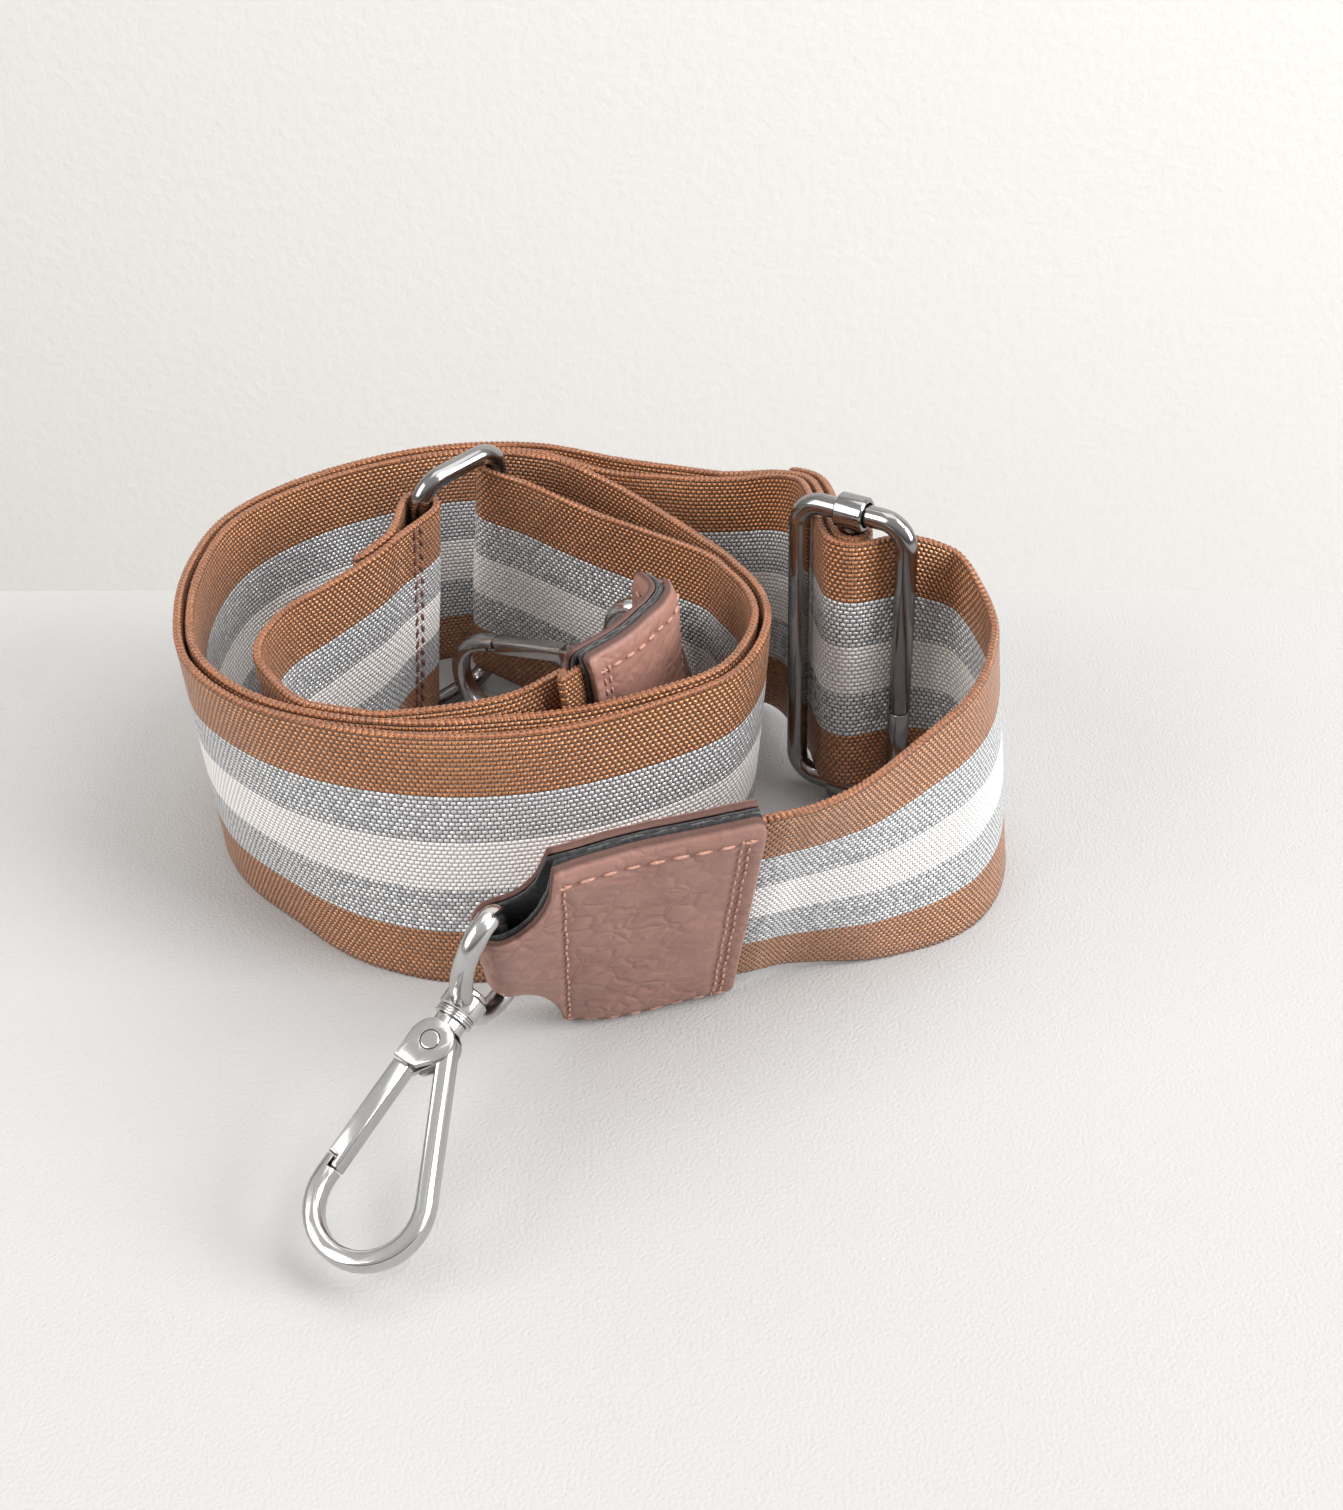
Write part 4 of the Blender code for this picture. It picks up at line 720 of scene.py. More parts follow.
@dataclass(frozen=True)
class WebbingFinish:
    """Striped plain weave: copper at both edges, silver lurex, and white in the middle, with painted highlights on
    bead crests, painted shade between beads and painted sparkle on the silver.
    """

    # The copper of each bead's crest, which carries the painted highlight
    copper: Colour = (0.64, 0.250, 0.084)
    # Painted shade: the dark copper in the gaps between beads; the same colour also darkens random beads and the
    # braided edge
    copper_dark_and_gap_shade: Colour = (0.052, 0.017, 0.007)
    # A lighter copper laid over broad random patches
    copper_patch: Colour = (0.66, 0.31, 0.13)
    silver: Colour = (0.97, 0.98, 0.99)
    # Painted shade: the near black in the gaps between silver beads and between their fibres
    silver_gap_shade: Colour = (0.105, 0.109, 0.115)
    # Painted sparkle: the dimmer silver of beads painted as catching less light
    silver_sparkle_dim: Colour = (0.40, 0.41, 0.43)
    white: Colour = (0.93, 0.91, 0.895)
    # Painted shade: the grey in the gaps between white beads; the same colour also darkens random beads
    white_dark_and_gap_shade: Colour = (0.50, 0.475, 0.46)
    copper_from: float = 0.0140
    silver_from: float = 0.00475
    selvedge_from: float = 0.0240
    selvedge_to: float = 0.0250
    ragged: float = 0.0005
    pitch_along: float = 0.00098
    pitch_across: float = 0.00081
    waver: float = 0.05
    relief: float = 0.00036

    def material(self) -> bpy.types.Material:
        """Build the webbing's material over its own lengthwise coordinates."""
        material, tree, shader = start_material("striped_webbing")
        place = tree.node("ShaderNodeUVMap", uv_map="cloth").outputs[0]
        weave = grouped(tree, "weave", {"Place": place, "Pitch Along": self.pitch_along,
                                        "Pitch Across": self.pitch_across, "Waver": self.waver})
        gap, chance, strand = weave["Gap"], weave["Chance"], weave["Strand"]
        across = tree.math("ABSOLUTE", weave["Row Place"])
        across_ragged = tree.plus(across, tree.times(tree.less(chance, 0.5), self.ragged))
        is_copper = tree.math("GREATER_THAN", across, self.copper_from)
        is_silver = tree.math("SUBTRACT", tree.math("GREATER_THAN", across_ragged, self.silver_from),
                              is_copper, clamp=True)
        # Broad random patches where the copper turns lighter
        broad_patches = tree.step(tree.noise(place, scale=28.0), 0.3, 0.7)
        # Painted highlight and painted shade: each copper bead is lightest on its crest and darkens into the gaps
        copper = tree.mix(tree.math("POWER", gap, 0.75), self.copper, self.copper_dark_and_gap_shade)
        copper = tree.mix(tree.times(chance, 0.30), copper, self.copper_dark_and_gap_shade)
        copper = tree.mix(tree.times(broad_patches, 0.12), copper, self.copper_patch)
        # The braided edge turns a darker copper, the same colour as the painted gap shade
        edge = tree.step(across, self.selvedge_from, self.selvedge_to)
        copper = tree.mix(tree.times(edge, 0.45), copper, self.copper_dark_and_gap_shade)
        # Painted shade: thin dark lines in the gaps under each white bead
        white = tree.mix(tree.math("POWER", gap, 2.2), self.white, self.white_dark_and_gap_shade)
        white = tree.mix(tree.times(chance, 0.08), white, self.white_dark_and_gap_shade)
        # Painted sparkle: beads at random shift from bright silver towards a dimmer silver
        silver = tree.mix(tree.times(chance, 0.5), self.silver, self.silver_sparkle_dim)
        # Painted shade in the gaps between silver beads and in the grooves between their fibres
        silver_shade_mask = tree.math("MAXIMUM", tree.math("POWER", gap, 1.4), tree.times(tree.less(1.0, strand), 0.5))
        silver = tree.mix(silver_shade_mask, silver, self.silver_gap_shade)
        lurex, glossy = (tree.times(stripe, tree.less(1.0, gap)) for stripe in (is_silver, is_copper))
        silver_rough = tree.plus(tree.times(chance, 0.22), 0.20)
        tilt = tree.times(weave["Tilt"], tree.blend(is_silver, 0.3, 2.4))
        raised = tree.plus(tree.plus(weave["Height"], tilt), tree.times(strand, 0.12))
        tree.fill(shader, {
            "Base Color": tree.mix(is_silver, tree.mix(is_copper, white, copper), silver),
            "Metallic": tree.plus(tree.times(lurex, 0.45), tree.times(glossy, 0.55)),
            "Roughness": tree.blend(is_silver, tree.blend(is_copper, 0.55, 0.27), silver_rough),
            "Specular IOR Level": tree.blend(is_copper, 0.6, 1.0),
            "Sheen Weight": 0.06, "Sheen Roughness": 0.4,
            "Normal": bumped(tree, raised, self.relief)})
        return material


@dataclass(frozen=True)
class LeatherFinish:
    """Mauve brown pebbled leather with darker cut edges, and painted shade in its creases and stitch grooves."""

    colour: Colour = (0.250, 0.127, 0.100)
    light: Colour = (0.280, 0.146, 0.116)
    # Painted shade: the darker brown laid into creases and stitch grooves
    crease_and_groove_shade: Colour = (0.15, 0.068, 0.052)
    raw: Colour = (0.075, 0.034, 0.026)
    cell: float = 0.0036
    crease_depth: float = 0.42
    pore_depth: float = 0.10
    relief: float = 0.00036

    def material(self) -> bpy.types.Material:
        """Build the leather's material, with its grain across the object's own space."""
        material, tree, shader = start_material("pebbled_leather")
        grain = grouped(tree, "grain", {"Place": tree.own_place(), "Cell": self.cell,
                                        "Crease Depth": self.crease_depth,
                                        "Pore Depth": self.pore_depth})
        groove_shade, raw = (tree.node("ShaderNodeAttribute", attribute_name=name).outputs["Fac"]
                     for name in ("groove", "raw"))
        colour = tree.mix(tree.step(grain["Mottle"], 0.35, 0.70), self.colour, self.light)
        # Painted shade in the grain's creases and in the stitch grooves
        colour = tree.mix(tree.times(grain["Crease"], 0.10), colour, self.crease_and_groove_shade)
        colour = tree.mix(tree.times(groove_shade, 0.45), colour, self.crease_and_groove_shade)
        tree.fill(shader, {
            "Base Color": tree.mix(raw, colour, self.raw),
            "Roughness": tree.blend(raw, tree.blend(grain["Crease"], 0.46, 0.62), 0.85),
            "Normal": bumped(tree, grain["Height"], self.relief, 0.6)})
        return material


@dataclass(frozen=True)
class ClothFinish:
    """A plain cloth or thread: its colour, the painted shade in its hollows and the size of its fuzz."""

    name: str
    colour: Colour
    # Painted shade: the darker colour laid in the low places of the fuzz
    hollow_shade: Colour
    scale: float
    depth: float
    roughness: float = 0.85
    sheen: float = 0.0

    def material(self) -> bpy.types.Material:
        """Build the cloth's material over the object's own space."""
        material, tree, shader = start_material(self.name)
        fuzz = tree.noise(tree.own_place(), self.scale, detail=3.0, rough=0.65)
        # Painted shade: where the fuzz is low the colour turns to the darker hollow colour
        spread = tree.step(fuzz, 0.35, 0.65)
        tree.fill(shader, {
            "Base Color": tree.mix(spread, self.hollow_shade, self.colour),
            "Roughness": tree.blend(spread, min(1.0, self.roughness + 0.1), self.roughness),
            "Sheen Weight": self.sheen, "Normal": bumped(tree, fuzz, self.depth, 0.8)})
        return material


@dataclass(frozen=True)
class MetalFinish:
    """A plated metal: its colour, its smeared colour and how polished it is."""

    name: str
    colour: Colour
    smeared: Colour
    roughness: float
    smear: float
    scratch: float

    def material(self) -> bpy.types.Material:
        """Build the metal's material over the object's own space."""
        material, tree, shader = start_material(self.name)
        wear = grouped(tree, "polish", {"Place": tree.own_place(), "Smear": self.smear,
                                        "Scratch": self.scratch})
        tree.fill(shader, {
            "Base Color": tree.mix(wear["Shade"], self.colour, self.smeared), "Metallic": 1.0,
            "Roughness": tree.blend(wear["Dull"], self.roughness, self.roughness + 0.22),
            "Normal": bumped(tree, wear["Height"], 0.00005, 0.12)})
        return material


@dataclass(frozen=True)
class TableFinish:
    """A pale cloth over the table, faintly woven, with low wrinkles and a few specks."""

    colour: Colour = (0.392, 0.389, 0.388)
    shade: Colour = (0.376, 0.371, 0.369)
    speck: Colour = (0.22, 0.19, 0.17)
    speck_scale: float = 26.0
    speck_chance: float = 0.90
    wrinkle_scale: tuple[float, float, float] = (5.0, 16.0, 1.0)
    wrinkle_turn: float = 0.35
    wrinkle_height: float = 9.0

    def material(self) -> bpy.types.Material:
        """Build the table cloth's material."""
        material, tree, shader = start_material("pale_table_cloth")
        place = tree.own_place()
        broad = tree.step(tree.noise(place, scale=5.0, detail=3.0), 0.3, 0.7)
        dots = tree.node("ShaderNodeTexVoronoi", {"Vector": place, "Scale": self.speck_scale}).outputs
        draw = tree.node("ShaderNodeSeparateColor", {0: dots["Color"]}).outputs[0]
        lone = tree.math("GREATER_THAN", draw, self.speck_chance)
        dot = tree.times(tree.step(dots["Distance"], 0.012, 0.020, 1.0, 0.0), lone)
        squashed = tree.node("ShaderNodeMapping", {
            "Vector": place, "Rotation": (0.0, 0.0, self.wrinkle_turn),
            "Scale": self.wrinkle_scale}).outputs[0]
        wrinkle = tree.times(tree.noise(squashed, scale=1.0), self.wrinkle_height)
        woven = tree.noise(place, scale=1800.0, detail=1.0)
        colour = tree.mix(broad, self.colour, self.shade)
        tree.fill(shader, {"Base Color": tree.mix(tree.times(dot, 0.7), colour, self.speck),
                           "Roughness": 0.9,
                           "Normal": bumped(tree, tree.plus(wrinkle, woven), 0.00030, 0.5)})
        return material


@dataclass(frozen=True)
class PlasterFinish:
    """A warm white wall with a fine rolled texture."""

    colour: Colour = (0.625, 0.618, 0.605)
    shade: Colour = (0.606, 0.596, 0.580)

    def material(self) -> bpy.types.Material:
        """Build the wall's material."""
        material, tree, shader = start_material("rolled_plaster")
        rolled = tree.noise(tree.own_place(), scale=120.0, detail=3.0, rough=0.55)
        tree.fill(shader, {"Base Color": tree.mix(rolled, self.shade, self.colour), "Roughness": 0.8,
                           "Normal": bumped(tree, rolled, 0.003, 0.25)})
        return material


class Slot(Enum):
    """The record's material slots."""

    WEBBING = "webbing"
    LEATHER = "leather"
    LINING = "lining"
    NICKEL = "nickel"
    GUNMETAL = "gunmetal"
    SPRING = "spring_wire"


class Finishes:
    """Every material of the strap, built once."""

    def __init__(self) -> None:
        """Build the materials."""
        self.webbing = WebbingFinish().material()
        self.leather = LeatherFinish().material()
        self.selvedge = ClothFinish("copper_selvedge", (0.30, 0.105, 0.042), (0.13, 0.042, 0.017),
                                    scale=2200.0, depth=0.00008, roughness=0.55, sheen=0.1).material()
        self.lining = ClothFinish("black_felt", (0.022, 0.021, 0.022), (0.006, 0.006, 0.007),
                                  scale=1600.0, depth=0.0003, roughness=0.92, sheen=0.2).material()
        self.tan_thread = ClothFinish("tan_thread", (0.47, 0.255, 0.19), (0.30, 0.145, 0.105),
                                      scale=3200.0, depth=0.00008, roughness=0.6).material()
        self.dark_thread = ClothFinish("mauve_thread", (0.21, 0.098, 0.082), (0.09, 0.038, 0.031),
                                       scale=3200.0, depth=0.00008, roughness=0.6).material()
        self.metals = {
            Slot.NICKEL: MetalFinish("polished_nickel", (0.52, 0.515, 0.51), (0.46, 0.455, 0.45),
                                     roughness=0.17, smear=0.25, scratch=0.4).material(),
            Slot.GUNMETAL: MetalFinish("polished_gunmetal", (0.29, 0.285, 0.285), (0.25, 0.245, 0.245),
                                       roughness=0.13, smear=0.25, scratch=0.4).material(),
            Slot.SPRING: MetalFinish("spring_steel", (0.42, 0.42, 0.42), (0.33, 0.33, 0.33),
                                     roughness=0.22, smear=0.5, scratch=0.5).material()}


# Meshes

def linked(name: str, data: bpy.types.ID) -> bpy.types.Object:
    """Make an object of some data in the scene."""
    made = bpy.data.objects.new(name, data)
    bpy.context.scene.collection.objects.link(made)
    return made


def mesh_from(bm: bmesh.types.BMesh, name: str) -> bpy.types.Mesh:
    """Turn an edit mesh into a plain one, and free it."""
    mesh = bpy.data.meshes.new(name)
    bm.to_mesh(mesh)
    bm.free()
    return mesh


def evaluated_mesh(guide: bpy.types.Object) -> bpy.types.Mesh:
    """Return a guide's mesh with its modifiers applied, and remove the guide."""
    source = guide.data
    made = bpy.data.meshes.new_from_object(guide.evaluated_get(bpy.context.evaluated_depsgraph_get()))
    guide.modifiers.clear()
    bpy.data.objects.remove(guide)
    bpy.data.meshes.remove(source)
    return made


def kept_above(places: np.ndarray, height: float) -> np.ndarray:
    """Raise the places that are lower than a height over the table."""
    places[..., 2] = np.maximum(places[..., 2], height)
    return places


def add_piece(mesh: bpy.types.Mesh, name: str, body: str,
              material: bpy.types.Material) -> bpy.types.Object:
    """Make a mesh a piece of the strap: smooth, finished and riding on its body."""
    mesh.name = name
    mesh.materials.clear()
    mesh.materials.append(material)
    mesh.shade_smooth()
    piece = linked(name, mesh)
    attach(piece, body)
    log.info("%s: %d faces", name, len(mesh.polygons))
    return piece


def lofted(sections: np.ndarray, name: str, marks: dict[str, np.ndarray] | None = None,
           cloth: np.ndarray | None = None) -> bpy.types.Mesh:
    """Loft rings of points into a closed tube with capped ends.

    Args:
        sections: Places, by ring, by corner and by axis.
        name: The mesh's name.
        marks: Numbers for each place, by attribute name.
        cloth: Cloth coordinates by ring and corner, with one corner more than the rings have.

    Returns:
        The mesh, with faces pointing outwards.
    """
    rings, corners = sections.shape[:2]
    index = np.arange(rings * corners).reshape(rings, corners)
    near, after = index[:-1], np.roll(index, -1, axis=1)[:-1]
    quads = np.stack((near, after, after + corners, near + corners), axis=-1).reshape(-1, 4)
    centre = sections.mean(axis=1)
    a, b, c = (sections.reshape(-1, 3)[quads[:, i]] for i in (0, 1, 2))
    middle = np.repeat(centre[:-1], corners, axis=0)
    flipped = np.einsum("ij,ij->i", np.cross(b - a, c - a), a - middle).sum() < 0
    if flipped:
        quads = quads[:, ::-1]
        caps = [index[0].tolist(), index[-1][::-1].tolist()]
    else:
        caps = [index[0][::-1].tolist(), index[-1].tolist()]
    mesh = bpy.data.meshes.new(name)
    mesh.from_pydata(sections.reshape(-1, 3).tolist(), [], quads.tolist() + caps)
    if cloth is not None:
        layer = mesh.uv_layers.new(name="cloth")
        first, second = cloth[:-1, :-1], cloth[:-1, 1:]
        third, fourth = cloth[1:, 1:], cloth[1:, :-1]
        order = (first, second, third, fourth)
        loops = np.stack(order[::-1] if flipped else order, axis=2).reshape(-1, 2)
        flat = cloth[:, :-1].reshape(-1, 2)
        loops = np.vstack((loops, flat[caps[0]], flat[caps[1]]))
        layer.data.foreach_set("uv", loops.astype(np.float32).ravel())
    for label, values in (marks or {}).items():
        mark = mesh.attributes.new(label, "FLOAT", "POINT")
        mark.data.foreach_set("value", np.asarray(values, np.float32).ravel())
    mesh.update()
    return mesh


class Ribbon:
    """A route that gives the place and directions at any length along it."""

    def __init__(self, band: Band) -> None:
        """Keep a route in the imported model's frame."""
        self.band = band
        self.total = float(band.lengths[-1])
        self.faces = band.normals()

    def at(self, lengths: Any) -> tuple[np.ndarray, np.ndarray, np.ndarray]:
        """Return places, width directions and face directions at lengths along the route."""
        lengths = np.asarray(lengths, float)
        found = [np.stack([np.interp(lengths, self.band.lengths, rows[:, axis])
                           for axis in range(3)], axis=-1)
                 for rows in (self.band.places, self.band.ups, self.faces)]
        found[1:] = [rows / np.linalg.norm(rows, axis=-1, keepdims=True) for rows in found[1:]]
        return found[0], found[1], found[2]

    def points(self, lengths: Any, across: Any, lift: Any) -> np.ndarray:
        """Return places at lengths along the route, across its width and off its mid-plane."""
        place, up, face = self.at(lengths)
        return (place + up * np.asarray(across, float)[..., None]
                + face * np.asarray(lift, float)[..., None])


def thread_tree() -> bpy.types.NodeTree:
    """Build the tree that lays short threads along edges, each leaning by its edge's share."""
    group = bpy.data.node_groups.new("laid threads", "GeometryNodeTree")
    sockets = (("Edges", "NodeSocketGeometry"), ("Pitch", "NodeSocketFloat"),
               ("Length", "NodeSocketFloat"), ("Thickness", "NodeSocketFloat"),
               ("Lean", "NodeSocketFloat"), ("Unevenness", "NodeSocketFloat"),
               ("Finish", "NodeSocketMaterial"), ("Seed", "NodeSocketInt"))
    for label, kind in sockets:
        group.interface.new_socket(name=label, in_out="INPUT", socket_type=kind)
    group.interface.new_socket(name="Threads", in_out="OUTPUT", socket_type="NodeSocketGeometry")
    tree = Tree(group)
    given = tree.node("NodeGroupInput").outputs
    curve = tree.node("GeometryNodeMeshToCurve", {"Mesh": given["Edges"]})
    spaced = tree.node("GeometryNodeResampleCurve", {"Curve": curve.outputs[0],
                                                     "Length": given["Pitch"]}, mode="LENGTH")
    side = tree.node("GeometryNodeInputNamedAttribute", {"Name": "side"}, data_type="FLOAT_VECTOR")
    share = tree.node("GeometryNodeInputNamedAttribute", {"Name": "lean"}, data_type="FLOAT")
    tangent = tree.node("GeometryNodeInputTangent")
    aim = tree.node("FunctionNodeAxesToRotation", {0: tangent.outputs[0], 1: side.outputs[0]},
                    primary_axis="X", secondary_axis="Z")
    chance = tree.node("FunctionNodeRandomValue", {2: tree.less(1.0, given["Unevenness"]),
                                                   3: tree.plus(1.0, given["Unevenness"]),
                                                   "Seed": given["Seed"]}, data_type="FLOAT")
    lean = tree.times(tree.times(given["Lean"], share.outputs[0]), chance.outputs[1])
    turn = tree.node("ShaderNodeCombineXYZ", {2: lean})
    turn = tree.node("FunctionNodeEulerToRotation", {0: turn.outputs[0]})
    aim = tree.node("FunctionNodeRotateRotation", {0: aim.outputs[0], 1: turn.outputs[0]},
                    rotation_space="LOCAL")
    bead = tree.node("GeometryNodeMeshUVSphere", {"Segments": 6, "Rings": 5, "Radius": 0.5})
    size = tree.node("ShaderNodeCombineXYZ", {0: given["Length"], 1: given["Thickness"],
                                              2: given["Thickness"]})
    bead = tree.node("GeometryNodeTransform", {"Geometry": bead.outputs[0], "Scale": size.outputs[0]})
    smooth = tree.node("GeometryNodeSetShadeSmooth", {"Geometry": bead.outputs[0]})
    laid = tree.node("GeometryNodeInstanceOnPoints", {
        "Points": spaced.outputs[0], "Instance": smooth.outputs[0], "Rotation": aim.outputs[0],
        "Scale": chance.outputs[1]})
    real = tree.node("GeometryNodeRealizeInstances", {0: laid.outputs[0]})
    dressed = tree.node("GeometryNodeSetMaterial", {"Geometry": real.outputs[0],
                                                    "Material": given["Finish"]})
    tree.node("NodeGroupOutput", {0: dressed.outputs[0]})
    return group


@dataclass(frozen=True)
class ThreadStyle:
    """How short threads are laid: spacing and sizes in metres, lean in radians, and chance."""

    pitch: float
    length: float
    thickness: float
    lean: float = 0.0
    unevenness: float = 0.06
    seed: int = 7


SELVEDGE = ThreadStyle(pitch=0.00098, length=0.00130, thickness=0.00050, lean=math.radians(24),
                       unevenness=0.07)
SEAM = ThreadStyle(pitch=0.0028, length=0.0025, thickness=0.00080, lean=0.28, unevenness=0.08, seed=11)
TAB_ROW = ThreadStyle(pitch=0.0034, length=0.0025, thickness=0.00060, unevenness=0.09, seed=3)
TAB_COLUMN = ThreadStyle(pitch=0.0022, length=0.0016, thickness=0.00056, unevenness=0.10, seed=5)


@dataclass
class Threads:
    """Short threads laid along runs of places, such as stitches or a braided edge."""

    name: str
    style: ThreadStyle
    runs: list[tuple[np.ndarray, np.ndarray, float]] = field(default_factory=list)

    def add(self, places: np.ndarray, sides: np.ndarray, share: float = 1.0) -> None:
        """Add a run of places with the direction out of the surface at each."""
        self.runs.append((places, sides, share))

    def mesh(self, group: bpy.types.NodeTree, material: bpy.types.Material) -> bpy.types.Mesh:
        """Lay the threads with the tree and return them as a plain mesh.

        Args:
            group: The Geometry Nodes tree that lays threads.
            material: The threads' material.

        Returns:
            A mesh without modifiers or instances.
        """
        places = np.vstack([run[0] for run in self.runs])
        sides = np.vstack([run[1] for run in self.runs])
        leans = np.concatenate([np.full(len(run[0]), run[2]) for run in self.runs])
        edges, start = [], 0
        for run in self.runs:
            edges += [(start + i, start + i + 1) for i in range(len(run[0]) - 1)]
            start += len(run[0])
        mesh = bpy.data.meshes.new(self.name + "_runs")
        mesh.from_pydata(places.tolist(), edges, [])
        mark = mesh.attributes.new("side", "FLOAT_VECTOR", "POINT")
        mark.data.foreach_set("vector", sides.astype(np.float32).ravel())
        mark = mesh.attributes.new("lean", "FLOAT", "POINT")
        mark.data.foreach_set("value", leans.astype(np.float32))
        guide = linked(self.name + "_runs", mesh)
        modifier = guide.modifiers.new("threads", "NODES")
        modifier.node_group = group
        style = self.style
        values = {"Pitch": style.pitch, "Length": style.length, "Thickness": style.thickness,
                  "Lean": style.lean, "Unevenness": style.unevenness, "Finish": material,
                  "Seed": style.seed}
        for socket in group.interface.items_tree:
            if socket.in_out == "INPUT" and socket.name in values:
                modifier[socket.identifier] = values[socket.name]
        return evaluated_mesh(guide)


def merged_meshes(meshes: Sequence[bpy.types.Mesh], name: str) -> bpy.types.Mesh:
    """Join meshes into one."""
    bm = bmesh.new()
    for mesh in meshes:
        bm.from_mesh(mesh)
    joined = mesh_from(bm, name)
    for mesh in meshes:
        bpy.data.meshes.remove(mesh)
    return joined


# Webbing

@dataclass
class Webbing:
    """One run of striped webbing: a flat woven band with braided edges and sewn ends."""

    name: str
    ribbon: Ribbon
    finishes: Finishes
    width: float = SIZES.webbing_width
    thickness: float = SIZES.webbing_thickness
    columns: int = 15
    reach: float = 0.0013
    turn: float = math.radians(7)
    long_ripple: float = 0.00007
    cross_ripple: float = 0.00006
    end_taper: float = 0.0006
    edge_step: float = 0.0010
    edge_inset: float = 0.00022
    edge_spread: float = 0.00030
    seam_margin: float = 0.0015
    seam_waver: float = 0.00012
    seam_lift: float = 0.00006

    def section(self) -> tuple[np.ndarray, np.ndarray, np.ndarray]:
        """Return the band's outline: places across, places off the mid-plane and cloth across."""
        half, radius = self.width / 2, self.thickness / 2
        flat = np.linspace(radius - half, half - radius, self.columns)
        turn = np.radians((30, 65, 90, 115, 150))
        across = np.concatenate((flat, half - radius + radius * np.sin(turn), flat[::-1],
                                 radius - half - radius * np.sin(turn)))
        off = np.concatenate((np.full(len(flat), radius), radius * np.cos(turn),
                              np.full(len(flat), -radius), -radius * np.cos(turn)))
        cloth = np.append(across, across[0])
        return across, off, cloth

    def band(self) -> bpy.types.Object:
        """Build the woven band."""
        picked = self.ribbon.band.stations(self.reach, self.turn)
        lengths = self.ribbon.band.lengths[picked]
        across, off, cloth = self.section()
        ripple = (self.long_ripple * np.sin(lengths[:, None] * 210 + across * 160)
                  + self.cross_ripple * np.sin(lengths[:, None] * 83 - across * 90))
        from_end = np.minimum(lengths, self.ribbon.total - lengths)
        closing = np.clip(from_end / self.end_taper, 0.55, 1)
        grid = self.ribbon.points(np.repeat(lengths[:, None], len(across), axis=1),
                                  np.broadcast_to(across, ripple.shape),
                                  off * closing[:, None] + ripple)
        coordinates = np.stack(np.broadcast_arrays(lengths[:, None], cloth), axis=-1)
        mesh = lofted(kept_above(grid, 0.00005), self.name, cloth=coordinates)
        piece = add_piece(mesh, self.name + "_cloth", "strap", self.finishes.webbing)
        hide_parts(self.name)
        return piece

    def edges(self, group: bpy.types.NodeTree) -> bpy.types.Object:
        """Lay the two rows of leaning threads that close each edge."""
        threads = Threads(self.name + "_edge", SELVEDGE)
        lengths = np.arange(self.end_taper, self.ribbon.total - self.end_taper, self.edge_step)
        for side in (-1, 1):
            for row in (-1, 1):
                shifted = lengths + 0.25 * row * SELVEDGE.pitch
                across = np.full(len(lengths), side * (self.width / 2 - self.edge_inset))
                lift = np.full(len(lengths), row * self.edge_spread)
                places = kept_above(self.ribbon.points(shifted, across, lift), SELVEDGE.thickness / 2)
                threads.add(places, self.ribbon.at(shifted)[1] * side, row)
        mesh = threads.mesh(group, self.finishes.selvedge)
        return add_piece(mesh, self.name + "_selvedge", "strap", self.finishes.selvedge)

    def seam(self, group: bpy.types.NodeTree, lengths: Sequence[float], face: float,
             label: str) -> bpy.types.Object:
        """Sew two rows of stitches across the band.

        Args:
            group: The Geometry Nodes tree that lays threads.
            lengths: Where along the band each row stands.
            face: The face that the stitches show on, 1 for the left and -1 for the right.
            label: What the seam is called.

        Returns:
            The stitches.
        """
        threads = Threads(self.name + label, SEAM)
        across = np.linspace(-self.width / 2 + self.seam_margin, self.width / 2 - self.seam_margin, 60)
        lift = np.full(len(across), face * (self.thickness / 2 + self.seam_lift))
        for length, share in zip(lengths, (1.0, -1.0)):
            row = np.full(len(across), float(length)) + self.seam_waver * np.sin(across * 900)
            places = self.ribbon.points(row, across, lift)
            threads.add(places, self.ribbon.at(row)[2] * face, share)
        mesh = threads.mesh(group, self.finishes.dark_thread)
        return add_piece(mesh, self.name + label, "strap", self.finishes.dark_thread)


# Leather tabs

